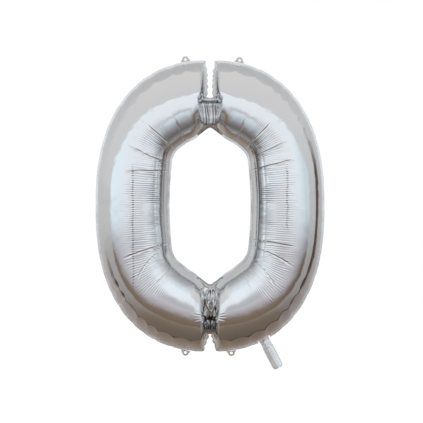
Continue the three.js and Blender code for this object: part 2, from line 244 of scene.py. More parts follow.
def make_stations(outline: Outline, grid: FilmGrid) -> Stations:
    """Space the stations evenly along the limb, and finely on the blunt ends.

    Args:
        outline: The outlines that the stations join.
        grid: Fineness of the film.

    Returns:
        The stations of the right half ring.
    """
    figure = outline.figure
    bow = np.linspace(0.0, outline.side_end, grid.dense)
    corner = np.linspace(outline.side_end, outline.slope_angle, grid.dense)[1:]
    cap_foot = figure.slit_foot + figure.cap_length
    slope_x = np.linspace(outline.slope_start[0], cap_foot, grid.dense)[1:]
    foot = np.concatenate([
        outline.bow_centre + polar(bow, figure.hole_bow_radius),
        outline.corner_centre + polar(corner, figure.hole_corner_radius),
        outline.slope_points(slope_x),
    ])
    turn = np.linspace(outline.slope_angle, outline.slit_angle, grid.dense)[1:]
    angle = np.concatenate([bow, corner, turn])
    along = path_length(foot)
    even = np.linspace(0.0, along[-1], 3 * grid.dense)
    taps = grid.turn_taps
    spread = np.exp(-0.5 * (np.arange(-taps, taps + 1) / grid.turn_spread) ** 2)
    sharp = np.interp(even, along, angle)
    mirrored = np.concatenate([-sharp[taps:0:-1], sharp, np.full(taps, outline.slit_angle)])
    soft = np.convolve(mirrored, spread / spread.sum(), mode="valid")
    angle = np.interp(along, even, soft)
    angle += (outline.slit_angle - angle[-1]) * smoothstep(0.6, 1.0, along / along[-1])
    tip = outline.rim_hits(foot, angle)
    middle = path_length((foot + tip) / 2)
    rows = np.linspace(0.0, middle[-1], int(middle[-1] / grid.row_spacing))
    foot = np.stack([np.interp(rows, middle, foot[:, k]) for k in range(2)], axis=-1)
    angle = np.interp(rows, middle, angle)
    sweep = np.linspace(math.pi / 2, 0.0, grid.cap_rows + 1)[1:]
    cap_x = figure.slit_foot + figure.cap_length * (1.0 - np.cos(sweep))
    foot = np.concatenate([foot, outline.slope_points(cap_x)])
    angle = np.concatenate([angle, np.full(len(cap_x), outline.slit_angle)])
    tip = outline.rim_hits(foot, angle)
    middle = path_length((foot + tip) / 2)
    rim = path_length(tip)
    mirror = np.array([1.0, -1.0])
    return Stations(
        foot=np.concatenate([(foot * mirror)[:0:-1], foot]),
        tip=np.concatenate([(tip * mirror)[:0:-1], tip]),
        middle=np.concatenate([-middle[:0:-1], middle]),
        rim=np.concatenate([-rim[:0:-1], rim]),
    )


OUTLINE = Outline(FIGURE)
STATIONS = make_stations(OUTLINE, GRID)
CENTRE_Z = float(sum(corner[2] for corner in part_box("right_rear_foil")) / 2)


# ---- Mesh helpers ------------------------------------------------------------------


def grid_faces(rows: int, columns: int, start: int = 0, closed: bool = False) -> np.ndarray:
    """Return the quads of a grid of points that is stored row by row.

    Args:
        rows: Number of rows.
        columns: Number of points in a row.
        start: Index of the grid's first point.
        closed: Whether each row's last point joins its first.
    """
    last = columns if closed else columns - 1
    row = np.arange(rows - 1)[:, None] * columns
    column = np.arange(last)[None, :]
    after = (column + 1) % columns
    quads = np.stack([row + column, row + after, row + columns + after, row + columns + column], axis=-1)
    return quads.reshape(-1, 4) + start


def make_piece(name: str, points: np.ndarray, quads: np.ndarray, material: bpy.types.Material,
               uv: np.ndarray | None = None, masks: dict[str, np.ndarray] | None = None,
               ) -> bpy.types.Object:
    """Make a smooth mesh object from points and quads.

    Args:
        name: Name of the piece.
        points: Point places, one row each.
        quads: Point indices of each face.
        material: Finish of the whole piece.
        uv: Film coordinates of each point, in metres along and across.
        masks: Named values of each point for the material.

    Returns:
        The new object, linked to the scene.
    """
    mesh = bpy.data.meshes.new(name)
    mesh.vertices.add(len(points))
    mesh.vertices.foreach_set("co", np.ascontiguousarray(points, dtype=np.float32).ravel())
    mesh.loops.add(quads.size)
    mesh.loops.foreach_set("vertex_index", quads.astype(np.int32).ravel())
    mesh.polygons.add(len(quads))
    mesh.polygons.foreach_set("loop_start", np.arange(0, quads.size, 4, dtype=np.int32))
    mesh.polygons.foreach_set("use_smooth", np.ones(len(quads), dtype=bool))
    if uv is not None:
        layer = mesh.uv_layers.new(name="film")
        layer.data.foreach_set("uv", uv[quads.ravel()].astype(np.float32).ravel())
    for label, values in (masks or {}).items():
        attribute = mesh.attributes.new(label, "FLOAT", "POINT")
        attribute.data.foreach_set("value", values.astype(np.float32).ravel())
    mesh.update()
    mesh.validate()
    mesh.materials.append(material)
    piece = bpy.data.objects.new(name, mesh)
    bpy.context.scene.collection.objects.link(piece)
    return piece


def tie(piece: bpy.types.Object, node: str, body: str | None = None) -> bpy.types.Object:
    """Tie a piece to its CAD node.

    Args:
        piece: The piece.
        node: Name of the CAD node that it replaces.
        body: Name of the body that it rides on, or None to leave it unattached.

    Returns:
        The same piece.
    """
    if body:
        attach(piece, body)
    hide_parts(node)
    return piece


def outward(points: np.ndarray, rows: int, columns: int, toward: np.ndarray) -> np.ndarray:
    """Return the grid's unit normals.

    Args:
        points: Points of the grid, row by row.
        rows: Number of rows.
        columns: Number of points in a row.
        toward: Directions on the side that the normals should point to.
    """
    grid = points.reshape(rows, columns, 3)
    along = np.gradient(grid, axis=0)
    across = np.gradient(grid, axis=1)
    normal = np.cross(along, across)
    length = np.linalg.norm(normal, axis=-1, keepdims=True)
    normal = normal / np.maximum(length, 1e-12)
    flip = np.sign(np.sum(normal * toward, axis=-1, keepdims=True))
    return (normal * np.where(flip == 0, 1.0, flip)).reshape(-1, 3)


def face_out(quads: np.ndarray, points: np.ndarray, normals: np.ndarray) -> np.ndarray:
    """Return the quads, all turned round if most of them face against the normals.

    Args:
        quads: Point indices of each face.
        points: The points.
        normals: A direction outwards for each point.
    """
    a, b, c = (points[quads[:, k]] for k in range(3))
    facing = np.sum(np.cross(b - a, c - a) * normals[quads[:, 0]], axis=-1)
    return quads[:, ::-1] if facing.sum() < 0 else quads


# ---- Relief ------------------------------------------------------------------------


def triangle(phase: np.ndarray) -> np.ndarray:
    """Return a triangle wave from -1 to 1 with a period of 1."""
    return 4.0 * np.abs(phase - np.floor(phase + 0.5)) - 1.0


def seeded_waves(x: np.ndarray, y: np.ndarray, length: float, seed: int, count: int, least: float,
                 shape: Callable[[np.ndarray], np.ndarray]) -> np.ndarray:
    """Return the sum of seeded waves in many directions, of about unit height.

    Args:
        x: First coordinate of the points.
        y: Second coordinate of the points.
        length: About the length of a wave.
        seed: Seed of the directions, lengths and phases.
        count: Number of waves.
        least: Shortest wave, as a share of the length. The longest is 1 more.
        shape: Height of a wave by its phase, with a period of 1.
    """
    rng = np.random.default_rng(seed)
    total = np.zeros(np.broadcast(x, y).shape)
    for _ in range(count):
        turn = rng.uniform(0.0, math.pi)
        span = length * rng.uniform(least, least + 1.0)
        along = x * math.cos(turn) + y * math.sin(turn)
        total += shape(along / span + rng.uniform())
    return total / math.sqrt(count)


def swells(x: np.ndarray, y: np.ndarray, length: float, seed: int, count: int = 7) -> np.ndarray:
    """Return soft seeded waves of about unit height and about the given length."""
    return seeded_waves(x, y, length, seed, count, 0.6, lambda phase: np.sin(2 * math.pi * phase))


def facets(x: np.ndarray, y: np.ndarray, length: float, seed: int, count: int = 5) -> np.ndarray:
    """Return seeded sharp folds of about unit height, flat between the folds."""
    return seeded_waves(x, y, length, seed, count, 0.7, triangle)


def spaced_marks(low: float, high: float, pitch: float, spread: float, seed: int) -> np.ndarray:
    """Return seeded places from low to high.

    Args:
        low: The first place.
        high: The last place.
        pitch: About the distance between places.
        spread: How uneven the distances are, from 0.
        seed: Seed of the distances.
    """
    rng = np.random.default_rng(seed)
    count = max(2, round((high - low) / pitch))
    steps = 1.0 + spread * rng.uniform(-1.0, 1.0, count)
    return low + (high - low) * np.concatenate([[0.0], np.cumsum(steps) / steps.sum()])


def pinch(place: np.ndarray, marks: np.ndarray, sharpness: float = 0.6) -> tuple[np.ndarray, np.ndarray]:
    """Return how near each place is to a mark, and which mark.

    Args:
        place: The places.
        marks: The marks, in rising order.
        sharpness: Less than 1 makes the peaks at the marks narrower.

    Returns:
        A value of 1 at each mark falling to 0 between marks, and the nearest mark's index.
    """
    cell = np.clip(np.searchsorted(marks, place) - 1, 0, len(marks) - 2)
    share = (place - marks[cell]) / (marks[cell + 1] - marks[cell])
    share = np.clip(share, 0.0, 1.0)
    return 1.0 - np.sin(math.pi * share) ** sharpness, cell + (share > 0.5)


def profile(place: np.ndarray, table: tuple[tuple[float, float], ...]) -> np.ndarray:
    """Return the softened value of a table at the places.

    Args:
        place: The places.
        table: Rows of a place and its value, in millimetres.
    """
    marks = np.array(table) * MM
    taps = np.linspace(-LIMB.edge_softening, LIMB.edge_softening, 7)
    return sum(np.interp(place + tap, marks[:, 0], marks[:, 1]) for tap in taps) / len(taps)


# ---- Limb films --------------------------------------------------------------------


@dataclass(frozen=True)
class Limb:
    """Sizes of a limb's film along its edges."""

    edge_softening: float = 5 * MM
    edge_reach: float = 70 * MM
    edge_lift: float = 0.3 * MM
    cap_fold: float = 0.16
    cap_rounding: float = 17 * MM
    hole_draw: float = 7 * MM
    draw_start: float = 36 * MM
    draw_full: float = 72 * MM
    corner_height: float = 165 * MM
    corner_span: float = 32 * MM
    corner_draw: float = 2 * MM
    taut_height: float = 120 * MM
    slack_height: float = 260 * MM
    brim_width: float = 24 * MM
    brim_scallop: float = 10 * MM
    brim_flatness: float = 0.36
    bead_pitch: float = 18 * MM
    bead_depth: float = 4.2 * MM
    bead_reach: float = 22 * MM
    bead_corner: float = 18 * MM
    rim_seed: int = 11


@dataclass(frozen=True)
class Pleats:
    """Puckers that run in from the welded outer rim."""

    pitch: float = 52 * MM
    depth: float = 2.6 * MM
    length: float = 46 * MM
    rim_notch: float = 1.6 * MM
    pitch_spread: float = 0.3
    deepest: float = 14 * MM
    lengths: tuple[float, float] = (0.6, 1.5)
    depths: tuple[float, float] = (0.5, 1.35)


@dataclass(frozen=True)
class Ribs:
    """Fine hoop-wise ribs on the inner half of each face."""

    pitch: float = 6.5 * MM
    first_share: float = 0.13
    last_share: float = 0.6
    ragged: float = 0.09
    limb_reach: float = 1.2
    reach: float = 250 * MM
    fade: float = 70 * MM
    seed: int = 23


@dataclass(frozen=True)
class Dashes:
    """The row of short dark marks where the ribs cross the limb's crest."""

    crest: float = 225 * MM
    width: float = 1.9 * MM
    core: float = 1.8
    drift: float = 1.2 * MM
    drift_length: float = 50 * MM
    fade: float = 30 * MM
    strengths: tuple[float, float] = (0.6, 1.3)


@dataclass(frozen=True)
class Shade:
    """Painted shade on a limb's film: darkening put into its colour where the film mirrors dark surroundings,
    in a strip beside the hole, at the hole's edge and in the slit's valleys.
    """

    strip: float = 0.62
    strip_start: float = 50 * MM
    strip_full: float = 60 * MM
    strip_soft: float = 6 * MM
    left_end: float = 68 * MM
    right_end: float = 78 * MM
    strip_height: float = 170 * MM
    strip_fade: float = 260 * MM
    hole: float = 0.5
    hole_dark: float = 12 * MM
    hole_clear: float = 34 * MM
    beads: float = 0.9
    bead_dark: float = 2 * MM
    bead_clear: float = 13 * MM


@dataclass(frozen=True)
class Undulation:
    """The film's soft unevenness: broad swells and finer ones."""

    edge: float = 30 * MM
    broad: float = 0.45 * MM
    broad_length: float = 130 * MM
    fine: float = 0.07 * MM
    fine_length: float = 30 * MM
    fine_count: int = 11


@dataclass(frozen=True)
class Crease:
    """One crease across a limb, from the hole's edge outwards.

    Attributes:
        place: Distance along the limb's middle from mid-height.
        depth: Depth of the valley.
        reach: Share of the limb's width where the crease has died away.
        slant: How far the crease shifts along the limb over the limb's width.
        start: Share of the limb's width where the crease begins.
        width: Half the width of the valley.
        lip: Height of the swelling beside the valley, as a share of the depth.
        lip_place: Place of the lip's crest, in half widths.
        lip_width: Spread of the lip, in half widths.
    """

    place: float
    depth: float
    reach: float
    slant: float
    start: float = 0.0
    width: float = 2.8 * MM
    lip: float = 0.22
    lip_place: float = 1.7
    lip_width: float = 0.7


@dataclass(frozen=True)
class Fold:
    """One crease that runs along the limb."""

    across: float
    depth: float
    place: float
    half_length: float
    width: float = 5 * MM
    drift: float = 2 * MM
    drift_length: float = 200 * MM


@dataclass(frozen=True)
class Gather:
    """Folds that fan out from a neck: the height of their centre, where they lie and how many a turn has."""

    height: float
    low: float
    high: float
    depth: float
    count: int


def crease_rows(*rows: tuple[float, ...]) -> tuple[Crease, ...]:
    """Return creases from rows of place, depth, reach, slant and any start, with lengths in millimetres."""
    return tuple(Crease(place * MM, depth * MM, reach, slant * MM, *start)
                 for place, depth, reach, slant, *start in rows)


LIMB = Limb()
BROAD_PLEATS = Pleats()
FINE_PLEATS = Pleats(BROAD_PLEATS.pitch / 3, BROAD_PLEATS.depth / 3.2, BROAD_PLEATS.length / 2.4,
                     BROAD_PLEATS.rim_notch / 2.6)
RIBS = Ribs()
DASHES = Dashes()
SHADE = Shade()
UNDULATION = Undulation()
# Distance of the film's edge from the centre line, at heights from the balloon's middle.
TOP_EDGE = ((229, 12), (250, 12), (298, 19), (314, 21), (326, 13), (345, 11), (392, 12), (430, 17))
BOTTOM_EDGE = ((229, 12), (262, 13), (300, 13), (322, 11), (338, 7), (374, 6), (390, 9), (430, 21))
FOLDS = (
    Fold(across=84 * MM, depth=1.1 * MM, place=0.0, half_length=190 * MM),
    Fold(across=50 * MM, depth=0.9 * MM, place=10 * MM, half_length=180 * MM),
)
GATHERS = (
    Gather(height=-326 * MM, low=12 * MM, high=52 * MM, depth=1.8 * MM, count=22),
    Gather(height=308 * MM, low=20 * MM, high=48 * MM, depth=0.5 * MM, count=26),
)
# The stretch of each limb that has dashes.
CRESTS = {Half.LEFT: (-200 * MM, 100 * MM), Half.RIGHT: (-50 * MM, 100 * MM)}
CREASES = {
    Half.LEFT: crease_rows(
        (245, 1.5, 0.56, -9), (205, 0.5, 0.4, 20), (138, 1.8, 0.7, 53), (112, 1.6, 0.66, -21),
        (105, 0.6, 0.45, -14), (-119, 1.8, 0.72, -43), (-152, 1.5, 0.64, -150, 0.2), (-245, 1.1, 0.45, -20),
        (320, 1.1, 0.36, 20),
    ),
    Half.RIGHT: crease_rows(
        (246, 1.5, 0.56, 5), (214, 0.5, 0.4, 20), (173, 1.6, 0.65, 16), (114, 1.8, 0.7, 31),
        (-108, 1.8, 0.66, -14), (-127, 1.6, 0.7, -66), (-189, 1.5, 0.6, -87), (-290, 1.1, 0.4, -20),
        (318, 1.1, 0.36, 20),
    ),
}


class LimbFilm:
    """One sheet of one half ring, as a grid of film over the stations."""

    def __init__(self, half: Half, face: Face) -> None:
        """Shape the sheet.

        Args:
            half: The half ring that it belongs to.
            face: The way that it faces.
        """
        self.half = half
        self.face = face
        self.seed = 100 * (half is Half.RIGHT) + 10 * (face is Face.REAR)
        self.rim_seed = LIMB.rim_seed + 50 * (half is Half.RIGHT)
        turn = np.linspace(0.0, math.pi, GRID.columns)
        tip = STATIONS.tip
        foot = self.drawn_foot()
        self.share = (1.0 - np.cos(turn)) / 2
        self.reach = np.linalg.norm(tip - foot, axis=1) / 2
        self.slack = smoothstep(LIMB.taut_height, LIMB.slack_height, np.abs(STATIONS.middle))
        plan = foot[:, None] + (tip - foot)[:, None] * self.share[None, :, None]
        plan = self.draw_back(plan)
        depth = FIGURE.depth_to_width * self.reach[:, None] * np.sin(turn)[None, :]
        y = LIMB.edge_lift + (depth - self.brim(depth)) * self.swell()[:, None]
        self.points = np.stack([plan[..., 0], y, plan[..., 1]], axis=-1)
        self.along = np.broadcast_to(STATIONS.middle[:, None], y.shape)
        self.across = self.arc(self.points, axis=1)
        self.from_rim = self.across[:, -1:] - self.across
        rows = self.arc(self.points, axis=0)
        self.from_slit = np.minimum(rows, rows[-1:] - rows)
        self.emboss()

    @staticmethod
    def drawn_foot() -> np.ndarray:
        """Return the hole's edge as the gas draws it back, most at the upper corners."""
        foot, tip = STATIONS.foot, STATIONS.tip
        out = (tip - foot) / np.linalg.norm(tip - foot, axis=1, keepdims=True)
        near = (np.abs(foot[:, 1]) - LIMB.corner_height) / LIMB.corner_span
        corner = np.exp(-(near ** 2)) * np.sign(foot[:, 1])
        draw = LIMB.hole_draw + LIMB.corner_draw * corner
        draw = draw * smoothstep(LIMB.draw_start, LIMB.draw_full, foot[:, 0])
        return foot + out * draw[:, None]

    @staticmethod
    def arc(points: np.ndarray, axis: int) -> np.ndarray:
        """Return the length along the grid's lines from their first point."""
        steps = np.linalg.norm(np.diff(points, axis=axis), axis=-1)
        start = np.zeros_like(np.take(steps, [0], axis=axis))
        return np.concatenate([start, np.cumsum(steps, axis=axis)], axis=axis)

    @staticmethod
    def swell() -> np.ndarray:
        """Return each station's share of the full depth, below 1 on the blunt ends."""
        inset = np.clip((STATIONS.foot[:, 0] - FIGURE.slit_foot) / LIMB.cap_rounding, 0.0, 1.0)
        round_end = np.sqrt(np.clip(1.0 - (1.0 - inset) ** 2, 0.0, 1.0))
        return (1.0 - LIMB.cap_fold) * round_end + LIMB.cap_fold * inset

    @staticmethod
    def draw_back(plan: np.ndarray) -> np.ndarray:
        """Shape the blunt ends' edges beside the slits and the necks."""
        height = np.abs(plan[..., 1])
        above = np.maximum(height - OUTLINE.neck_foot, 0.0)
        slit = FIGURE.slit_foot + above * math.tan(FIGURE.slit_lean)
        edge = np.where(plan[..., 1] > 0, profile(height, TOP_EDGE), profile(height, BOTTOM_EDGE))
        moved = plan.copy()
        moved[..., 0] += (edge - slit) * (1.0 - smoothstep(0.0, LIMB.edge_reach, plan[..., 0] - slit))
        return moved

    def brim(self, depth: np.ndarray) -> np.ndarray:
        """Return how far the facets beside the outer rim lie inside the round section.

        Args:
            depth: Depth of the round section over the grid.
        """
        rim = STATIONS.rim
        marks = spaced_marks(rim[0], rim[-1], BROAD_PLEATS.pitch, BROAD_PLEATS.pitch_spread, self.rim_seed)
        valley, _ = pinch(rim, marks, 1.0)
        width = LIMB.brim_width + LIMB.brim_scallop * self.slack * (1.0 - valley)
        inset = 2 * self.reach[:, None] * (1.0 - self.share[None, :])
        top = FIGURE.depth_to_width * np.sqrt(width * (2 * self.reach - width))
        straight = inset * (top / width)[:, None]
        flatness = LIMB.brim_flatness * (0.3 + 0.7 * self.slack)[:, None]
        return flatness * np.maximum(depth - straight, 0.0) * (inset < width[:, None])

    def emboss(self) -> None:
        """Press the pleats, creases and undulations into the film."""
        middle = (self.points[:, :1] + self.points[:, -1:]) / 2
        normals = outward(self.points.reshape(-1, 3), *self.points.shape[:2], self.points - middle)
        normals = normals.reshape(self.points.shape)
        normals[:, [0, -1], 1] = 0.0
        normals[[0, -1]] = (-1.0, 0.0, 0.0)
        relief = self.pleats() + self.slit_scallops() + self.creases() + self.gathers() + self.undulation()
        self.points = self.points + normals * relief[..., None]

    def pleats(self) -> np.ndarray:
        """Return the puckers along the outer rim."""
        rim = STATIONS.rim
        total = np.zeros(self.across.shape)
        for layer, pleats in enumerate((BROAD_PLEATS, FINE_PLEATS)):
            marks = spaced_marks(rim[0], rim[-1], pleats.pitch, pleats.pitch_spread, self.rim_seed + layer)
            rng = np.random.default_rng(self.rim_seed + 7 + layer + self.seed)
            valley, mark = pinch(rim, marks)
            lengths = pleats.length * rng.uniform(*pleats.lengths, len(marks))[mark]
            depths = pleats.depth * rng.uniform(*pleats.depths, len(marks))[mark]
            fade = 1.0 - smoothstep(0.15, 1.0, self.from_rim / lengths[:, None])
            grow = smoothstep(0.0, pleats.deepest, self.from_rim)
            total -= (pleats.rim_notch + (depths[:, None] - pleats.rim_notch) * grow) * valley[:, None] * fade
        return total * (0.35 + 0.65 * self.slack)[:, None]

    def slit_valleys(self) -> np.ndarray:
        """Return 1 in the valleys between the beads along the slit's edges, and 0 on the beads."""
        height = np.abs(self.points[..., 2])
        low = OUTLINE.neck_foot - 20 * MM
        marks = spaced_marks(low, FIGURE.half_height, LIMB.bead_pitch, 0.35, self.rim_seed + 3)
        valley, _ = pinch(height.ravel(), marks, 0.9)
        return valley.reshape(height.shape)

    def slit_scallops(self) -> np.ndarray:
        """Return the small puckers along the slit's edges."""
        corner = smoothstep(0.0, LIMB.bead_corner, self.from_rim)
        fade = 1.0 - smoothstep(0.0, LIMB.bead_reach, self.from_slit)
        return -LIMB.bead_depth * self.slit_valleys() * corner * fade

    def creases(self) -> np.ndarray:
        """Return the creases that fan out at the hole's corners and run along the limb."""
        total = np.zeros(self.across.shape)
        chord = np.broadcast_to(self.share[None, :], total.shape)
        for crease in CREASES[self.half]:
            centre = crease.place + crease.slant * (chord - crease.start)
            gap = np.abs(self.along - centre) / crease.width
            lip = crease.lip * np.exp(-((gap - crease.lip_place) / crease.lip_width) ** 2)
            rise = smoothstep(crease.start, crease.start + 0.05, chord)
            fall = 1.0 - smoothstep(crease.reach * 0.7, crease.reach, chord)
            total -= crease.depth * (np.maximum(1.0 - gap, 0.0) - lip) * rise * fall
        for fold in FOLDS:
            drift = fold.drift * swells(self.along, 0 * self.along, fold.drift_length, self.seed + 5, 3)
            gap = np.abs(self.across - fold.across - drift) / fold.width
            away = np.abs(self.along - fold.place)
            fade = 1.0 - smoothstep(fold.half_length * 0.6, fold.half_length, away)
            total -= fold.depth * np.maximum(1.0 - gap, 0.0) * fade
        return total

    def gathers(self) -> np.ndarray:
        """Return the folds that fan out from the necks over the blunt ends."""
        total = np.zeros(self.across.shape)
        for gather in GATHERS:
            x, up = self.points[..., 0], self.points[..., 2] - gather.height
            away = np.hypot(x, up)
            turn = np.arctan2(up, x) * gather.count / (2 * math.pi)
            full = gather.low + 0.3 * (gather.high - gather.low)
            fade = smoothstep(gather.low * 0.6, gather.low, away)
            fade = fade * (1.0 - smoothstep(full, gather.high, away))
            level = smoothstep(0.86, 0.97, np.abs(x) / np.maximum(away, MM))
            total += gather.depth * fade * level * triangle(turn + 0.5 * np.sin(turn * 0.9 + self.seed))
        return total

    def undulation(self) -> np.ndarray:
        """Return the film's soft unevenness, which dies away at its edges."""
        size = UNDULATION
        edge = np.minimum(np.minimum(self.across, self.from_rim), self.from_slit)
        broad = size.broad * swells(self.along, self.across, size.broad_length, self.seed + 1)
        fine = size.fine * swells(self.along, self.across, size.fine_length, self.seed + 2, size.fine_count)
        return (broad + fine) * smoothstep(0.0, size.edge, edge)

    def rib_mask(self) -> np.ndarray:
        """Return where the fine hoop-wise ribs lie, from 0 to 1."""
        rng = np.random.default_rng(RIBS.seed + self.seed)
        teeth = np.arange(-RIBS.limb_reach, RIBS.limb_reach, RIBS.pitch)
        comb = np.interp(STATIONS.middle, teeth, rng.uniform(-RIBS.ragged, RIBS.ragged, len(teeth)))
        chord = self.share[None, :] + comb[:, None]
        band = smoothstep(RIBS.first_share, RIBS.first_share + 0.05, chord)
        band *= 1.0 - smoothstep(RIBS.last_share - 0.06, RIBS.last_share + 0.03, chord)
        fade = 1.0 - smoothstep(RIBS.reach, RIBS.reach + RIBS.fade, np.abs(STATIONS.middle))
        return band * fade[:, None]

    def dash_mask(self) -> np.ndarray:
        """Return the short dark marks along the limb's crest."""
        low, high = CRESTS[self.half]
        middle = STATIONS.middle
        rng = np.random.default_rng(self.seed + 9)
        drift = DASHES.drift * swells(self.along, 0 * self.along, DASHES.drift_length, self.seed + 6, 3)
        crest = np.abs(self.points[..., 0] - DASHES.crest - drift)
        line = np.clip(DASHES.core - crest / DASHES.width, 0.0, 1.0)
        step = middle / RIBS.pitch
        beat = rng.uniform(*DASHES.strengths, 400)[np.floor(step).astype(int) + 200]
        beat = beat * (1.0 - smoothstep(0.3, 0.6, np.abs(step - np.floor(step) - 0.5) * 2))
        window = smoothstep(low - DASHES.fade, low, middle)
        window = window * (1.0 - smoothstep(high, high + DASHES.fade, middle))
        return line * (beat * window)[:, None]

    def shade_mask(self) -> np.ndarray:
        """Return the painted shade on the strip, the hole's edge and the slit's valleys, from 0 to 1: how far
        the film's colour is darkened where it mirrors dark surroundings.
        """
        side = 1.0 - smoothstep(SHADE.strip_height, SHADE.strip_fade, np.abs(self.along))
        last = SHADE.right_end if self.half is Half.RIGHT else SHADE.left_end
        strip = smoothstep(SHADE.strip_start, SHADE.strip_full, self.across)
        strip = strip * (1.0 - smoothstep(last - SHADE.strip_soft, last, self.across))
        hole = 1.0 - smoothstep(SHADE.hole_dark, SHADE.hole_clear, self.across)
        beads = self.slit_valleys() * (1.0 - smoothstep(SHADE.bead_dark, SHADE.bead_clear, self.from_slit))
        return np.maximum(np.maximum(SHADE.strip * strip * side, SHADE.hole * hole), SHADE.beads * beads)

    def build(self) -> bpy.types.Object:
        """Make the film's piece and tie it to its body and its CAD node."""
        rows, columns = self.points.shape[:2]
        world = self.place(self.points.reshape(-1, 3))
        middle = (self.points[:, :1] + self.points[:, -1:]) / 2
        middle = self.place(middle.repeat(columns, 1).reshape(-1, 3))
        quads = face_out(grid_faces(rows, columns), world, world - middle)
        uv = np.stack([self.along, self.across], axis=-1).reshape(-1, 2)
        # The shade mask is painted shade: it darkens the film's colour where the film mirrors dark
        # surroundings.
        masks = {"rib": self.rib_mask(), "dash": self.dash_mask(), "shade": self.shade_mask()}
        name = f"{self.half.label}_{self.face.label}"
        piece = make_piece(f"{name}_film", world, quads, FINISHES.foil, uv, masks)
        tie(piece, f"{name}_foil", self.half.body)
        return piece

    def place(self, points: np.ndarray) -> np.ndarray:
        """Return points of the right half's front moved to this half and face."""
        turned = points * np.array([self.half.sign, self.face.sign, 1.0])
        return turned + np.array([0.0, 0.0, CENTRE_Z])


# ---- Welded rims -------------------------------------------------------------------


@dataclass(frozen=True)
class Weld:
    """Cross-section of the flat welded rim and the unevenness along it."""

    overlap: float = 2 * MM
    width: float = FIGURE.seam_width
    thickness: float = 0.6 * MM
    step: float = 2.2 * MM
    wave: float = 1.1 * MM
    wave_length: float = 60 * MM
    crimp: float = 0.25 * MM
    crimp_length: float = 9 * MM
    smoothing: int = 9


WELD = Weld()


class RimWeld:
    """A flat welded band along an open path in the plane of the balloon."""

    def __init__(self, name: str, half: Half, path: np.ndarray, node: str, seed: int) -> None:
        """Space the path evenly.

        Args:
            name: Name of the piece.
            half: The half ring that the band rides on.
            path: Points along the film's edge, in X and Z, for the right half.
            node: Name of the CAD node that the band replaces.
            seed: Seed of the band's waves.
        """
        self.name = name
        self.half = half
        self.node = node
        self.seed = seed
        length = path_length(path)
        self.length = np.linspace(0.0, length[-1], int(length[-1] / WELD.step))
        self.path = np.stack([np.interp(self.length, length, path[:, k]) for k in range(2)], axis=-1)

    def side(self) -> np.ndarray:
        """Return the unit directions in the plane that lead away from the film."""
        along = np.gradient(self.path, axis=0)
        kernel = np.ones(WELD.smoothing) / WELD.smoothing
        padded = np.pad(along, ((WELD.smoothing // 2,) * 2, (0, 0)), mode="edge")
        soft = np.stack([np.convolve(padded[:, k], kernel, mode="valid") for k in range(2)], axis=-1)
        soft /= np.linalg.norm(soft, axis=1, keepdims=True)
        return np.stack([soft[:, 1], -soft[:, 0]], axis=-1)

    def build(self) -> bpy.types.Object:
        """Make the band's piece and tie it to its body and its CAD node."""
        half = WELD.thickness / 2
        low, high = -WELD.overlap, WELD.width
        front = [[low, half], [low * 0.3, half], [high * 0.35, half], [high * 0.7, half],
                 [high * 0.95, half * 0.8]]
        rear = [[out, -depth] for out, depth in reversed(front)]
        section = np.array([*front, [high, 0.0], *rear])
        out = np.clip(section[:, 0] / high, 0.0, 1.0)[None, :]
        wave = WELD.wave * swells(self.length, 0 * self.length, WELD.wave_length, self.seed)
        crimp = WELD.crimp * facets(self.length, 0 * self.length, WELD.crimp_length, self.seed + 1)
        spot = self.path[:, None] + self.side()[:, None] * section[None, :, :1]
        y = section[None, :, 1] + wave[:, None] * out ** 1.5 + crimp[:, None] * out
        points = np.stack([spot[..., 0] * self.half.sign, y, spot[..., 1] + CENTRE_Z], axis=-1)
        rows, columns = points.shape[:2]
        quads = grid_faces(rows, columns, closed=True)
        centre = points.mean(axis=1)
        flat = points.reshape(-1, 3)
        quads = face_out(quads, flat, (points - centre[:, None]).reshape(-1, 3))
        last = self.cap_faces((rows - 1) * columns, columns)[:, ::-1]
        ends = np.concatenate([self.cap_faces(0, columns), last])
        uv = np.stack(np.broadcast_arrays(self.length[:, None], section[None, :, 0]), axis=-1).reshape(-1, 2)
        piece = make_piece(self.name, flat, np.concatenate([quads, ends]), FINISHES.weld, uv)
        return tie(piece, self.node, self.half.body)

    @staticmethod
    def cap_faces(start: int, count: int) -> np.ndarray:
        """Return quads that close the ring of points that starts at an index."""
        pairs = (count - 1) // 2
        return np.array([[start + k, start + k + 1, start + count - 2 - k, start + count - 1 - k]
                         for k in range(pairs)])


def weld_paths(film: LimbFilm) -> dict[str, np.ndarray]:
    """Return the paths of a half ring's welds, in X and Z.

    Args:
        film: The sheet whose edges the welds follow.

    Returns:
        The outer and the inner path by those names.
    """
    edge = film.points[..., [0, 2]]
    margin = 4 * MM
    slit_start = OUTLINE.slit_end - margin
    top = edge[-1][np.abs(edge[-1][:, 1]) > slit_start]
    bottom = edge[0][np.abs(edge[0][:, 1]) > slit_start]
    outer = np.concatenate([bottom, edge[1:-1, -1], top[::-1]])
    seam_foot = FIGURE.seam_width * math.sin(FIGURE.hole_slope) + margin
    inner = edge[:, 0][edge[:, 0, 0] > seam_foot]
    return {"outer": outer, "inner": inner[::-1]}


# ---- Gathered necks ----------------------------------------------------------------


@dataclass(frozen=True)
class Ridge:
    """One fold that runs up a neck.

    Attributes:
        low_x: Place across the neck at the fold's low end.
        high_x: Place across the neck at the fold's high end.
        height: Height of the fold.
        width: Half the width of the fold.
        low: Share of the neck's height where the fold begins.
        high: Share of the neck's height where the fold ends.
        bow: How far the fold's middle lies to the side.
    """

    low_x: float
    high_x: float
    height: float
    width: float
    low: float
    high: float
    bow: float


def ridge_rows(*rows: tuple[float, ...]) -> tuple[Ridge, ...]:
    """Return folds from rows of a ridge's sizes and any bow, with lengths in millimetres."""
    return tuple(Ridge(low_x * MM, high_x * MM, height * MM, width * MM, low, high, sum(bow) * MM)
                 for low_x, high_x, height, width, low, high, *bow in rows)


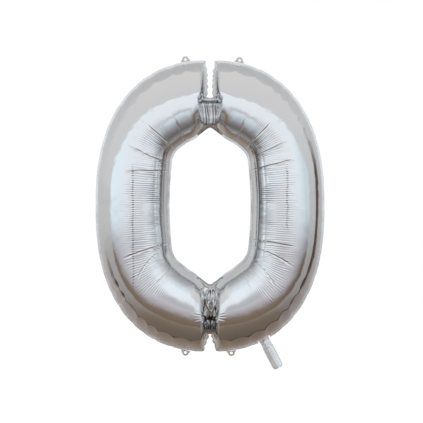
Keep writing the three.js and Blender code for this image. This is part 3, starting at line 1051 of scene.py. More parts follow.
@dataclass(frozen=True)
class Neck:
    """Shape of one gathered neck. Heights are from the balloon's middle.

    Attributes:
        low: Height of the neck's end in the hole.
        high: Height of the neck's end in the slit.
        sill: Heights and depths on the centre line, in millimetres.
        ridges: Folds that run up the neck.
        seed: Seed of the crumple and the drift.
        groove: Depth of the groove under the rolled top edge.
        groove_height: Height of the groove.
        pinch: Height where the film is drawn tight.
        pinch_x: Place of the pinch across the neck.
        shoulder: Share of the half ring's depth at the neck's side edges.
        crumple: Height of the sharp irregular folds.
        drift: How far the folds stray sideways.
        hem_rise: How far the end in the hole is lifted on the centre line.
        hem_round: Rounding of the end in the hole.
        brow_slope: Slope of the end in the slit, away from the centre line.
        brow_round: Rounding of the end in the slit.
        low_roll: Share of the height over which the end in the hole rolls in.
        high_roll: Share of the height over which the end in the slit rolls in.
    """

    low: float
    high: float
    sill: tuple[tuple[float, float], ...]
    ridges: tuple[Ridge, ...]
    seed: int
    groove: float = 0.0
    groove_height: float = 0.0
    pinch: float = 0.0
    pinch_x: float = 0.0
    shoulder: float = 0.5
    crumple: float = 0.25 * MM
    drift: float = 0.7 * MM
    hem_rise: float = 3 * MM
    hem_round: float = 6 * MM
    brow_slope: float = 0.55
    brow_round: float = 9 * MM
    low_roll: float = 0.1
    high_roll: float = 0.08
    half_width: float = 36 * MM
    columns: int = 145
    rows: int = 181


@dataclass(frozen=True)
class NeckShade:
    """Painted shade of a neck: darkening put into its colour in its hollows, at its end in the hole, and in
    the star and stem at a pinch.
    """

    smoothing: int = 9
    hollow: float = 0.8
    hollow_depth: float = 2.4 * MM
    hem: float = 0.7
    hem_height: float = 9 * MM
    star: float = 1.35
    star_core: float = 7 * MM
    star_edge: float = 17 * MM
    star_height: float = 1.5
    stem: float = 1.3
    stem_least: float = 0.5
    stem_core: float = 2 * MM
    stem_edge: float = 5 * MM
    stem_start: float = 3 * MM
    stem_fade: float = 30 * MM
    stem_end: float = 38 * MM


NECK_SHADE = NeckShade()
TOP_NECK = Neck(
    low=229 * MM, high=321 * MM, seed=41, groove=9 * MM, groove_height=307 * MM,
    sill=((229, 8), (240, 19), (262, 25), (285, 22), (300, 19), (314, 23), (321, 20)),
    ridges=ridge_rows(
        (-15, -20, 6, 6, 0.02, 0.84), (-6, -12, 7, 3.5, 0.05, 0.84), (3, 3, 6, 6.5, 0.0, 0.7),
        (-2, -6, 5, 2.5, 0.35, 0.84), (1, 8, 6, 2.5, 0.45, 0.86), (12, 13, 7, 4, 0.02, 0.84),
        (17, 24, 6, 5, 0.04, 0.84),
    ),
)
BOTTOM_NECK = Neck(
    low=229 * MM, high=380 * MM, seed=57, pinch=333 * MM, pinch_x=1 * MM,
    sill=((229, 14), (242, 25), (270, 29), (298, 27), (316, 22), (330, 17), (340, 15), (352, 18), (366, 17),
          (380, 14)),
    ridges=ridge_rows(
        (3, 3, 9, 3.5, 0.03, 0.56, -15), (4, 4, 9, 3.5, 0.03, 0.56, 15), (4, 4, 4, 5, 0.03, 0.4),
        (-2, 3, 7, 3, 0.34, 0.55, -5), (10, 4, 7, 3, 0.34, 0.55, 4), (-9, -3, 6, 4, 0.72, 0.98),
        (12, 3, 6, 4, 0.72, 0.98),
    ),
)


class NeckWall:
    """One wall of a gathered neck, between the blunt ends of the half rings."""

    def __init__(self, neck: Neck, side: float, face: Face, node: str) -> None:
        """Take the wall's place.

        Args:
            neck: Shape of the neck.
            side: 1 at the top, -1 at the bottom.
            face: The way that the wall faces.
            node: Name of the CAD node that the wall replaces.
        """
        self.neck = neck
        self.side = side
        self.face = face
        self.node = node
        self.seed = neck.seed + (face is Face.REAR)

    def heights(self, x: np.ndarray, share: np.ndarray) -> np.ndarray:
        """Return the grid's heights: the ends sag and rise away from the centre line."""
        neck = self.neck
        low = np.sqrt(x ** 2 + neck.hem_round ** 2) - neck.hem_round
        low = neck.low + neck.hem_rise - math.tan(FIGURE.hole_slope) * low
        high = neck.high + neck.brow_slope * (np.sqrt(x ** 2 + neck.brow_round ** 2) - neck.brow_round)
        return low + (high - low) * share

    def folds(self, x: np.ndarray, z: np.ndarray, share: np.ndarray) -> np.ndarray:
        """Return the height of the ridges, the crumple and the groove.

        Args:
            x: Places across the neck.
            z: Heights from the balloon's middle.
            share: Shares of the neck's height.
        """
        neck = self.neck
        drift = neck.drift * swells(z, 0 * z, 50 * MM, self.seed + 2, 3)
        folds = np.zeros(x.shape)
        for ridge in neck.ridges:
            window = smoothstep(ridge.low - 0.02, ridge.low + 0.1, share)
            window *= 1.0 - smoothstep(ridge.high - 0.1, ridge.high + 0.02, share)
            run = np.clip((share - ridge.low) / (ridge.high - ridge.low), 0.0, 1.0)
            line = ridge.low_x + (ridge.high_x - ridge.low_x) * run + ridge.bow * np.sin(math.pi * run)
            gap = np.abs(x - line - drift) / ridge.width
            folds = np.maximum(folds, ridge.height * window * np.maximum(1.0 - gap, 0.0))
        folds = folds + neck.crumple * facets(x, z, 26 * MM, self.seed, 4)
        folds = folds + 0.35 * neck.crumple * facets(x, z, 9 * MM, self.seed + 1, 5)
        arch = z - neck.groove_height - 4 * MM * (np.abs(x) / neck.half_width) ** 2
        return folds - neck.groove * np.exp(-((arch / (3.5 * MM)) ** 2))

    def depth(self, x: np.ndarray, z: np.ndarray, share: np.ndarray) -> np.ndarray:
        """Return how far the wall stands from the plane of the balloon.

        Args:
            x: Places across the neck.
            z: Heights from the balloon's middle.
            share: Shares of the neck's height.
        """
        neck = self.neck
        slope = OUTLINE.neck_foot - (np.abs(x) - FIGURE.slit_foot) * math.tan(FIGURE.hole_slope)
        chord = np.maximum(z - slope, 0.0) * np.maximum(FIGURE.half_height - z, 0.0)
        limb = FIGURE.depth_to_width * np.sqrt(chord)
        ends = np.sqrt(1.0 - (1.0 - np.clip(share / neck.low_roll, 0.0, 1.0)) ** 2)
        ends = ends * np.sqrt(1.0 - (1.0 - np.clip((1.0 - share) / neck.high_roll, 0.0, 1.0)) ** 2)
        side = (np.abs(x) / neck.half_width) ** 1.7
        base = profile(z, neck.sill) * ends * (1.0 - side) + neck.shoulder * limb * side
        inner = 1.0 - smoothstep(0.75, 1.0, np.abs(x) / neck.half_width)
        return base + self.folds(x, z, share) * inner * ends

    def shade(self, x: np.ndarray, z: np.ndarray, depth: np.ndarray) -> np.ndarray:
        """Return the painted shade at each point, from 0 up: darkening put into the film's colour in hollows,
        at the end in the hole and, at a pinch, in a star and a stem.

        Args:
            x: Places across the neck.
            z: Heights from the balloon's middle.
            depth: Depths of the wall.
        """
        size = NECK_SHADE
        steps = range(-size.smoothing, size.smoothing + 1)
        soft = depth
        for axis in (0, 1):
            soft = sum(np.roll(soft, step, axis=axis) for step in steps) / len(steps)
        # Painted shade in the hollows, where the depth lies under its smoothed value, and along the end in
        # the hole.
        hollow = size.hollow * np.clip((soft - depth) / size.hollow_depth, 0.0, 1.0) ** 1.2
        hem = 1.0 - smoothstep(0.0, size.hem_height, z - self.heights(x, 0.0 * x))
        hollow = np.maximum(hollow, size.hem * hem)
        if not self.neck.pinch:
            return hollow
        # Painted shade in a dark star round the pinch and a dark stem running from it.
        across, up = x - self.neck.pinch_x, z - self.neck.pinch
        turn = np.arctan2(up, across)
        away = np.hypot(across, up * size.star_height)
        away = away * (1.0 + 0.3 * np.cos(5 * turn + 0.6) + 0.15 * np.cos(9 * turn))
        star = size.star * (1.0 - smoothstep(size.star_core, size.star_edge, away))
        line = size.stem * (1.0 - smoothstep(size.stem_core, size.stem_edge, np.abs(across)))
        run = smoothstep(0.0, size.stem_start, up) * (1.0 - smoothstep(size.stem_fade, size.stem_end, up))
        return np.maximum(hollow, np.maximum(star, run * np.maximum(line, size.stem_least)))

    def build(self) -> bpy.types.Object:
        """Make the wall's piece between the half rings, tied to no body."""
        neck = self.neck
        x, even = np.meshgrid(np.linspace(-1.0, 1.0, neck.columns) * neck.half_width,
                              np.linspace(0.0, 1.0, neck.rows))
        share = 0.35 * (1.0 - np.cos(math.pi * even)) / 2 + 0.65 * even
        z = self.heights(x, share)
        depth = np.maximum(self.depth(x, z, share), 0.0)
        y = (LIMB.edge_lift + depth) * self.face.sign
        flat = np.stack([x, y, z * self.side + CENTRE_Z], axis=-1).reshape(-1, 3)
        toward = np.broadcast_to([0.0, self.face.sign, 0.0], flat.shape)
        quads = face_out(grid_faces(neck.rows, neck.columns), flat, toward)
        uv = np.stack([z, x], axis=-1).reshape(-1, 2)
        # The shade mask is painted shade in the neck's hollows, at its end and round a pinch.
        masks = {"shade": self.shade(x, z, depth)}
        piece = make_piece(f"{self.node}_film", flat, quads, FINISHES.neck, uv, masks)
        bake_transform(piece)
        return tie(piece, self.node)


# ---- Tabs --------------------------------------------------------------------------


@dataclass(frozen=True)
class Tab:
    """A die-cut hanging tab with a round hole, in the frame of its place on the rim."""

    name: str
    x: float
    side: float
    curl: float
    base_width: float = 30 * MM
    top_radius: float = 9.5 * MM
    hole_radius: float = 4 * MM
    hole_height: float = 12.3 * MM
    base_height: float = 5.6 * MM
    flare: float = math.radians(16)
    thickness: float = 0.3 * MM
    bead: float = 0.35 * MM
    bead_place: float = 1.2 * MM
    bead_width: float = 0.5 * MM
    ripple: float = 0.25 * MM
    ripple_length: float = 14 * MM
    curl_reach: float = 16 * MM
    rings: int = 14
    spokes: int = 120


TABS = (
    Tab("top_left_tab", -71 * MM, 1.0, curl=0.9 * MM),
    Tab("top_right_tab", 85 * MM, 1.0, curl=-1.1 * MM),
    Tab("bottom_left_tab", -71 * MM, -1.0, curl=-0.8 * MM),
    Tab("bottom_right_tab", 62 * MM, -1.0, curl=1.2 * MM),
)


class RimFrame:
    """A frame on the outer outline: across it, away from the balloon, and through it."""

    def __init__(self, x: float, side: float) -> None:
        """Find the place on the outline and which way out is there.

        Args:
            x: Distance from the centre line, negative on the left.
            side: 1 at the top, -1 at the bottom.
        """
        figure = FIGURE
        angle = OUTLINE.rim_angle(abs(x)) * side
        point = OUTLINE.rim_points(np.array([angle]))[0]
        across = figure.width_power * (point[0] / figure.half_width) ** (figure.width_power - 1)
        up = figure.height_power * (abs(point[1]) / figure.half_height) ** (figure.height_power - 1)
        self.turn = math.atan2(math.copysign(across, x) / figure.half_width, side * up / figure.half_height)
        self.origin = np.array([x, 0.0, point[1] + CENTRE_Z])

    def place(self, points: np.ndarray) -> np.ndarray:
        """Return points of the frame moved to the balloon."""
        cos, sin = math.cos(self.turn), math.sin(self.turn)
        x = points[..., 0] * cos + points[..., 2] * sin
        z = points[..., 2] * cos - points[..., 0] * sin
        return np.stack([x, points[..., 1], z], axis=-1) + self.origin


class TabFilm:
    """The film of one hanging tab: a closed ring from the hole to the cut edge."""

    def __init__(self, tab: Tab) -> None:
        """Take the tab's sizes and find its place on the rim.

        Args:
            tab: Sizes of the tab.
        """
        self.tab = tab
        self.frame = RimFrame(tab.x, tab.side)

    def edge(self, angle: np.ndarray) -> np.ndarray:
        """Return the cut edge's points about the hole's centre.

        Args:
            angle: Bearings from the hole's centre.
        """
        tab = self.tab
        arc = np.linspace(tab.flare, math.pi - tab.flare, 60)
        outline = np.concatenate([
            [[-tab.base_width / 2, tab.base_height], [tab.base_width / 2, tab.base_height]],
            polar(arc, tab.top_radius) + [0.0, tab.hole_height],
        ])
        pairs = zip(outline, np.roll(outline, -1, axis=0))
        fine = np.concatenate([np.linspace(start, end, 30, endpoint=False) for start, end in pairs])
        offset = fine - [0.0, tab.hole_height]
        bearing = np.unwrap(np.arctan2(offset[:, 1], offset[:, 0]))
        bearing -= 2 * math.pi * round((bearing.mean() - math.pi) / (2 * math.pi))
        order = np.argsort(bearing)
        wrapped = np.mod(angle - bearing[order[0]], 2 * math.pi) + bearing[order[0]]
        distance = np.interp(wrapped, bearing[order], np.linalg.norm(offset, axis=1)[order])
        return polar(angle) * distance[:, None]

    def build(self) -> bpy.types.Object:
        """Make the tab's piece and tie it to its body and its CAD node."""
        tab = self.tab
        angle = np.linspace(0.0, 2 * math.pi, tab.spokes, endpoint=False)
        hole = polar(angle, tab.hole_radius)
        edge = self.edge(angle)
        share = np.linspace(0.0, 1.0, tab.rings) ** 1.5
        flat = hole[None] + (edge - hole)[None] * share[:, None, None]
        x, z = flat[..., 0], flat[..., 1] + tab.hole_height
        reach = np.linalg.norm(flat, axis=-1) - tab.hole_radius
        sheet = tab.curl * ((z - tab.base_height) / tab.curl_reach) ** 2
        sheet = sheet + tab.ripple * swells(x, z, tab.ripple_length, 5)
        bead = tab.bead * np.exp(-((reach - tab.bead_place) / tab.bead_width) ** 2)
        half = tab.thickness / 2
        front = np.stack([x, sheet - half - bead, z], axis=-1)
        back = np.stack([x, sheet + half - bead, z], axis=-1)[::-1]
        ring = np.concatenate([front, back])
        points = self.frame.place(ring.reshape(-1, 3))
        quads = grid_faces(2 * tab.rings, tab.spokes, closed=True)
        last = (2 * tab.rings - 1) * tab.spokes
        column = np.arange(tab.spokes)
        after = (column + 1) % tab.spokes
        wall = np.stack([last + column, last + after, after, column], axis=-1)
        toward = np.zeros_like(points)
        toward[:, 1] = np.repeat([-1.0, 1.0], tab.rings * tab.spokes)
        quads = face_out(np.concatenate([quads, wall]), points, toward)
        uv = np.stack([x, z], axis=-1)
        uv = np.concatenate([uv, uv[::-1]]).reshape(-1, 2)
        piece = make_piece(f"{tab.name}_film", points, quads, FINISHES.tab, uv)
        return tie(piece, tab.name, tab.name)


# ---- Tail --------------------------------------------------------------------------


@dataclass(frozen=True)
class Tail:
    """The inflation tail: two sheets with welded edges and an open mouth.

    Attributes:
        x: Distance of its root from the centre line.
        width: Width over its welded edges.
        length: Length from the balloon's rim.
        weld: Width of each welded edge.
        wall: Half the distance between the sheets where they lie together.
        mouth_sag: How far each sheet bulges at the mouth.
        root_sag: How far each sheet bulges at the root.
        root_length: Length of the flat root.
        swell_length: Length over which the bulge grows.
        tip_length: Length of the rounded tip.
        tip_taper: Share of the width that the tip loses.
        root: Height of the root's end over the rim, negative inside the balloon.
        crumple: Height of the folds near the root.
        crumple_length: Length over which those folds die away.
        lean: How far the tip leans to the front.
        waist: Share of the width that is gathered under the root.
        waist_place: Distance of the waist from the root's end.
        waist_length: Spread of the waist.
        pleat: Height of the slanting lengthwise pleat.
        ripple: Height of the soft waves.
        sway: How far the whole tail bends to and fro.
    """

    x: float = 159 * MM
    width: float = 33 * MM
    length: float = 99 * MM
    weld: float = 3 * MM
    wall: float = 0.15 * MM
    mouth_sag: float = 3.4 * MM
    root_sag: float = 0.3 * MM
    root_length: float = 12 * MM
    swell_length: float = 30 * MM
    tip_length: float = 12 * MM
    tip_taper: float = 0.4
    root: float = -3.5 * MM
    crumple: float = 3.2 * MM
    crumple_length: float = 34 * MM
    lean: float = 14 * MM
    waist: float = 0.1
    waist_place: float = 16 * MM
    waist_length: float = 12 * MM
    pleat: float = 0.9 * MM
    ripple: float = 0.2 * MM
    sway: float = 1.1 * MM
    columns: int = 61
    rows: int = 121


TAIL = Tail()


class TailFilm:
    """One sheet of the inflation tail."""

    def __init__(self, face: Face) -> None:
        """Lay out the sheet's grid.

        Args:
            face: The way that the sheet faces.
        """
        self.face = face
        self.frame = RimFrame(TAIL.x, -1.0)
        self.across, self.along = np.meshgrid(np.linspace(-1.0, 1.0, TAIL.columns),
                                              np.linspace(0.0, TAIL.length + 1 * MM, TAIL.rows))
        self.tip = np.clip((self.along - TAIL.length + TAIL.tip_length) / TAIL.tip_length, 0.0, 1.0)
        taper = 1.0 - TAIL.tip_taper * (1.0 - np.sqrt(1.0 - self.tip ** 2))
        gather = 1.0 - TAIL.waist * np.exp(-((self.along - TAIL.waist_place) / TAIL.waist_length) ** 2)
        self.x = self.across * taper * gather * TAIL.width / 2

    def depth(self) -> np.ndarray:
        """Return how far the sheet stands from the tail's middle."""
        tail, x, across, along = TAIL, self.x, self.across, self.along
        inner = 1.0 - 2 * tail.weld / tail.width
        arch = np.cos(np.clip(np.abs(across) / inner, 0.0, 1.0) * math.pi / 2) ** 0.8
        grow = smoothstep(0.0, tail.swell_length, along)
        sag = tail.root_sag + (tail.mouth_sag - tail.root_sag) * grow
        seed = 71 + (self.face is Face.REAR)
        crease = np.exp(-(along / tail.crumple_length) ** 2)
        rough = tail.crumple * crease * (1.0 + facets(x, along, 17 * MM, seed, 4)) / 2
        rough += tail.ripple * (swells(x, along, 40 * MM, seed + 2) + 1.0)
        pleat = tail.pleat * np.exp(-((across - 0.25 + along * 2) / 0.1) ** 2)
        flat = smoothstep(0.2 * tail.root_length, tail.root_length, along)
        return tail.wall + (sag + (rough + pleat * (1.0 - self.tip)) * flat) * arch

    def bend(self) -> np.ndarray:
        """Return how far the tail's middle lies from the balloon's plane, the same for both sheets."""
        along = self.along
        sway = TAIL.sway * swells(along, 0 * along, 70 * MM, 77, 3) * smoothstep(0.0, 20 * MM, along)
        return sway - TAIL.lean * (along / TAIL.length) ** 1.6

    def build(self) -> bpy.types.Object:
        """Make the sheet's piece and tie it to its body and its CAD node."""
        y = self.depth() * self.face.sign + self.bend()
        points = np.stack([self.x, y, TAIL.root + self.along], axis=-1).reshape(-1, 3)
        world = self.frame.place(points)
        toward = np.broadcast_to([0.0, self.face.sign, 0.0], world.shape)
        quads = face_out(grid_faces(TAIL.rows, TAIL.columns), world, toward)
        uv = np.stack([self.along, self.x], axis=-1).reshape(-1, 2)
        piece = make_piece(f"tail_{self.face.label}_film", world, quads, FINISHES.tail, uv)
        tie(piece, f"tail_{self.face.label}_foil", "tail")
        piece.visible_glossy = False
        return piece


# ---- Finishes ----------------------------------------------------------------------


def linear(red: float, green: float, blue: float) -> tuple[float, float, float, float]:
    """Return a display colour from 0 to 255 as linear light with full alpha."""
    channels = (value / 255 for value in (red, green, blue))
    return tuple(c / 12.92 if c <= 0.04045 else ((c + 0.055) / 1.055) ** 2.4 for c in channels) + (1.0,)


class Tree:
    """A node tree with short calls that add, set and join nodes."""

    def __init__(self, tree: bpy.types.NodeTree) -> None:
        """Take the node tree.

        Args:
            tree: The tree to fill.
        """
        self.tree = tree

    def add(self, kind: str, inputs: dict[str | int, object] | None = None,
            **settings: object) -> bpy.types.Node:
        """Add a node.

        Args:
            kind: Node type without its ShaderNode prefix.
            inputs: Values or output sockets for the node's inputs, by name or index.
            settings: Properties of the node.
        """
        node = self.tree.nodes.new(kind if kind.startswith("Node") else f"ShaderNode{kind}")
        for key, value in settings.items():
            setattr(node, key, value)
        for key, value in (inputs or {}).items():
            if isinstance(value, bpy.types.NodeSocket):
                self.tree.links.new(value, node.inputs[key])
            else:
                node.inputs[key].default_value = value
        return node

    def math(self, operation: str, *values: object) -> bpy.types.NodeSocket:
        """Return the result of a math node on numbers or sockets."""
        return self.add("Math", dict(enumerate(values)), operation=operation).outputs[0]

    def mix(self, share: object, first: object, second: object, **settings: object) -> bpy.types.NodeSocket:
        """Return the mix of two colours."""
        return self.add("Mix", {0: share, 6: first, 7: second}, data_type="RGBA", **settings).outputs[2]

    def span(self, value: bpy.types.NodeSocket, *limits: float) -> bpy.types.NodeSocket:
        """Return the value mapped from the first two limits to the last two, or else to 0 and 1."""
        return self.add("MapRange", {0: value, **dict(enumerate(limits, 1))}).outputs[0]

    def ramp(self, value: bpy.types.NodeSocket, stops: list[tuple[float, tuple]]) -> bpy.types.NodeSocket:
        """Return the colour of a ramp at a value."""
        node = self.add("ValToRGB", {0: value})
        elements = node.color_ramp.elements
        while len(elements) < len(stops):
            elements.new(1.0)
        for element, (place, colour) in zip(elements, stops):
            element.position = place
            element.color = colour
        return node.outputs["Color"]


def blank_tree(owner: bpy.types.Material | bpy.types.World) -> Tree:
    """Return the node tree of a material or a world, emptied."""
    owner.use_nodes = True
    owner.node_tree.nodes.clear()
    return Tree(owner.node_tree)


def relief_group() -> bpy.types.ShaderNodeTree:
    """Make the group that gives the film's fine relief in millimetres and its haze."""
    group = bpy.data.node_groups.new("film_relief", "ShaderNodeTree")
    faces = group.interface
    faces.new_socket("Film", in_out="INPUT", socket_type="NodeSocketVector")
    for name in ("Ribs", "Rib Pitch", "Wrinkles", "Wrinkle Scale"):
        faces.new_socket(name, in_out="INPUT", socket_type="NodeSocketFloat")
    faces.new_socket("Height", in_out="OUTPUT", socket_type="NodeSocketFloat")
    faces.new_socket("Haze", in_out="OUTPUT", socket_type="NodeSocketFloat")
    tree = Tree(group)
    entry = tree.add("NodeGroupInput")
    split = tree.add("SeparateXYZ", {0: entry.outputs["Film"]})
    drift = tree.add("TexNoise", {"Vector": entry.outputs["Film"], "Scale": 24.0, "Detail": 2.0})
    place = tree.math("DIVIDE", split.outputs["X"], entry.outputs["Rib Pitch"])
    place = tree.math("ADD", place, tree.math("MULTIPLY", drift.outputs["Fac"], 1.1))
    crest = tree.math("SINE", tree.math("MULTIPLY", place, 2 * math.pi))
    number = tree.math("FLOOR", place)
    chance = tree.add("TexWhiteNoise", {"W": number}, noise_dimensions="1D")
    strength = tree.math("MULTIPLY_ADD", chance.outputs["Value"], 0.7, 0.45)
    ribs = tree.math("MULTIPLY", tree.math("MULTIPLY", crest, strength), entry.outputs["Ribs"])
    noise = tree.add("TexNoise", {"Vector": entry.outputs["Film"], "Scale": entry.outputs["Wrinkle Scale"],
                                  "Detail": 5.0, "Roughness": 0.55, "Distortion": 0.6})
    ridge = tree.math("ABSOLUTE", tree.math("SUBTRACT", noise.outputs["Fac"], 0.5))
    wrinkles = tree.math("MULTIPLY", ridge, entry.outputs["Wrinkles"])
    haze = tree.add("TexNoise", {"Vector": entry.outputs["Film"], "Scale": 9.0, "Detail": 3.0})
    tree.add("NodeGroupOutput", {"Height": tree.math("ADD", ribs, wrinkles), "Haze": haze.outputs["Fac"]})
    return group


# How far the dash marks and the painted shade darken the film's colour, and the dark colour that they mix
# towards.
DASH_STRENGTH = 0.8
SHADE_STRENGTH = 0.72
DARKEST = (0.02, 0.02, 0.02, 1.0)


@dataclass(frozen=True)
class FilmFinish:
    """A metallised film: its tint, gloss and fine relief.

    Attributes:
        tint: Colour of the metal layer, as linear light.
        roughness: Least roughness of the surface.
        haze: How much rougher the hazy patches are.
        wrinkles: Height of the fine wrinkles in millimetres.
        wrinkle_scale: Fine wrinkles in a metre.
        ribs: Height of the hoop-wise ribs in millimetres.
        metallic: Share of metal in the look.
        transmission: Share of the light that passes through.
    """

    name: str
    tint: tuple[float, float, float]
    roughness: float
    haze: float
    wrinkles: float
    wrinkle_scale: float
    ribs: float = 0.0
    metallic: float = 1.0
    transmission: float = 0.0

    def build(self, relief: bpy.types.ShaderNodeTree) -> bpy.types.Material:
        """Make the material."""
        material = bpy.data.materials.new(self.name)
        tree = blank_tree(material)
        ribs, dash, shade = (tree.add("Attribute", attribute_name=name).outputs["Fac"]
                             for name in ("rib", "dash", "shade"))
        group = tree.add("Group", {
            "Film": tree.add("UVMap", uv_map="film").outputs["UV"],
            "Ribs": tree.math("MULTIPLY", ribs, self.ribs),
            "Rib Pitch": RIBS.pitch, "Wrinkles": self.wrinkles, "Wrinkle Scale": self.wrinkle_scale,
        }, node_tree=relief)
        bump = tree.add("Bump", {"Height": group.outputs["Height"], "Strength": 1.0, "Distance": MM})
        # The base colour is darkened by the dash marks and by the painted shade from the shade mask.
        mark = tree.math("MAXIMUM", tree.math("MULTIPLY", dash, DASH_STRENGTH),
                         tree.math("MULTIPLY", shade, SHADE_STRENGTH))
        roughness = tree.math("MULTIPLY_ADD", group.outputs["Haze"], self.haze, self.roughness)
        shader = tree.add("BsdfPrincipled", {
            "Base Color": tree.mix(mark, (*self.tint, 1.0), DARKEST),
            "Metallic": self.metallic, "Roughness": roughness,
            "Normal": bump.outputs["Normal"], "Transmission Weight": self.transmission,
        })
        tree.add("OutputMaterial", {"Surface": shader.outputs["BSDF"]})
        return material


class Finishes:
    """All finishes of the balloon."""

    def __init__(self) -> None:
        """Make every material round one shared relief group."""
        relief = relief_group()
        silver = (0.865, 0.872, 0.885)
        self.foil = FilmFinish(
            "silver_foil", silver, roughness=0.07, haze=0.07, ribs=0.2, wrinkles=0.35, wrinkle_scale=28.0,
        ).build(relief)
        self.neck = FilmFinish(
            "gathered_foil", silver, roughness=0.08, haze=0.08, wrinkles=0.5, wrinkle_scale=40.0,
        ).build(relief)
        self.weld = FilmFinish(
            "welded_foil", (0.97, 0.97, 0.98), roughness=0.3, haze=0.14, wrinkles=0.15, wrinkle_scale=90.0,
            metallic=0.75,
        ).build(relief)
        self.tail = FilmFinish(
            "tail_foil", (0.93, 0.965, 0.98), roughness=0.16, haze=0.1, wrinkles=0.03, wrinkle_scale=30.0,
            metallic=0.6,
        ).build(relief)
        self.tab = FilmFinish(
            "tab_film", (0.8, 0.76, 0.75), roughness=0.25, haze=0.1, wrinkles=0.3, wrinkle_scale=120.0,
            metallic=0.35, transmission=0.35,
        ).build(relief)
        self.valve = FilmFinish(
            "valve_film", (0.86, 0.88, 0.89), roughness=0.22, haze=0.1, wrinkles=0.3, wrinkle_scale=60.0,
            metallic=0.0, transmission=0.6,
        ).build(relief)


# ---- Stage -------------------------------------------------------------------------


@dataclass(frozen=True)
class Studio:
    """Sizes of the stage and the camera.

    Attributes:
        wall_marks: Heights of the wall's middle colours over the balloon's middle.
        wall_blue: Distances from the middle between which the wall turns bluer.
        wall_dim: Two places to the right and the wall's strength at each.
        patch_height: Height of the dim patch over the balloon's middle.
        patch_across: Two distances from the patch's middle and how dim it is at each.
        patch_up: Distances over and under the patch's middle where it starts and is full.
    """

    wall_distance: float = 0.86
    wall_half_width: float = 2.6
    wall_low: float = -0.95
    wall_high: float = 0.49
    wall_marks: tuple[float, ...] = (-0.62, -0.47, -0.3, -0.12, 0.04)
    wall_blue: tuple[float, float] = (0.3, 1.5)
    wall_dim: tuple[float, ...] = (0.7, 1.6, 1.0, 0.78)
    patch_height: float = -0.12
    patch_across: tuple[float, ...] = (0.45, 0.2, 0.0, 0.26)
    patch_up: tuple[float, float] = (0.18, 0.06)
    card_far: float = 0.62
    card_near: float = 0.0
    card_half_width: float = 0.17
    card_height: float = 0.004
    card_fade: float = 0.05
    floor_height: float = -1.3
    floor_half_size: float = 9.0
    floor_glow: float = 0.46
    camera_distance: float = 6.0
    camera_x: float = 0.0044
    camera_rise: float = -0.0163
    lens: float = 172.2


STUDIO = Studio()
FILM_MIRROR = 0.87


def lit(red: float, green: float, blue: float) -> tuple[float, float, float, float]:
    """Return the light that the film shows back as a display colour."""
    return tuple(channel / FILM_MIRROR for channel in linear(red, green, blue)[:3]) + (1.0,)


def lit_stops(*rows: tuple[float, float, float, float]) -> list[tuple[float, tuple]]:
    """Return a ramp's stops from rows of a place and the display colour that the film shows."""
    return [(place, lit(*colour)) for place, *colour in rows]


def level_corners(half: float, front: float, rear: float, z: float) -> list[tuple[float, float, float]]:
    """Return the corners of a level rectangle, which faces down when half is negative."""
    return [(-half, front, z), (half, front, z), (half, rear, z), (-half, rear, z)]


def stage_plane(name: str, corners: list[tuple[float, float, float]],
                material: bpy.types.Material) -> bpy.types.Object:
    """Make a flat stage object from four corners."""
    mesh = bpy.data.meshes.new(name)
    mesh.from_pydata(corners, [], [(0, 1, 2, 3)])
    mesh.materials.append(material)
    plane = bpy.data.objects.new(name, mesh)
    bpy.context.scene.collection.objects.link(plane)
    return plane


def light_plane(name: str, corners: list[tuple[float, float, float]],
                material: bpy.types.Material) -> bpy.types.Object:
    """Make a stage object that lights the film but that the camera doesn't see."""
    plane = stage_plane(name, corners, material)
    plane.visible_camera = False
    plane.visible_shadow = False
    return plane


def light_wall() -> bpy.types.Object:
    """Make the broad soft light in front of the balloon, dimmer to the right and at its middle."""
    material = bpy.data.materials.new("light_wall")
    tree = blank_tree(material)
    spot = tree.add("SeparateXYZ", {0: tree.add("TexCoord").outputs["Object"]})
    low, high = CENTRE_Z + STUDIO.wall_low, CENTRE_Z + STUDIO.wall_high
    rise = tree.span(spot.outputs["Z"], low, high)
    places = [0.0, *((height + CENTRE_Z - low) / (high - low) for height in STUDIO.wall_marks), 1.0]
    neutral = ((112, 95, 79), (122, 108, 95), (160, 153, 156), (186, 184, 187), (205, 207, 210),
               (222, 226, 229), (226, 232, 236))
    blue = ((112, 95, 79), (124, 110, 98), (158, 154, 158), (180, 184, 190), (202, 213, 219),
            (220, 233, 240), (222, 235, 242))
    colours = [tree.ramp(rise, lit_stops(*((place, *colour) for place, colour in zip(places, table))))
               for table in (neutral, blue)]
    from_middle = tree.math("ABSOLUTE", spot.outputs["X"])
    band = tree.math("SUBTRACT", spot.outputs["Z"], CENTRE_Z + STUDIO.patch_height)
    band = tree.span(tree.math("ABSOLUTE", band), *STUDIO.patch_up)
    patch = tree.math("MULTIPLY", tree.span(from_middle, *STUDIO.patch_across), band)
    right = tree.span(spot.outputs["X"], *STUDIO.wall_dim)
    glow = tree.add("Emission", {
        "Color": tree.mix(tree.span(from_middle, *STUDIO.wall_blue), *colours),
        "Strength": tree.math("MULTIPLY", right, tree.math("SUBTRACT", 1.0, patch)),
    })
    tree.add("OutputMaterial", {"Surface": glow.outputs[0]})
    half, y = STUDIO.wall_half_width, -STUDIO.wall_distance
    corners = [(-half, y, low), (half, y, low), (half, y, high), (-half, y, high)]
    return light_plane("light_wall", corners, material)


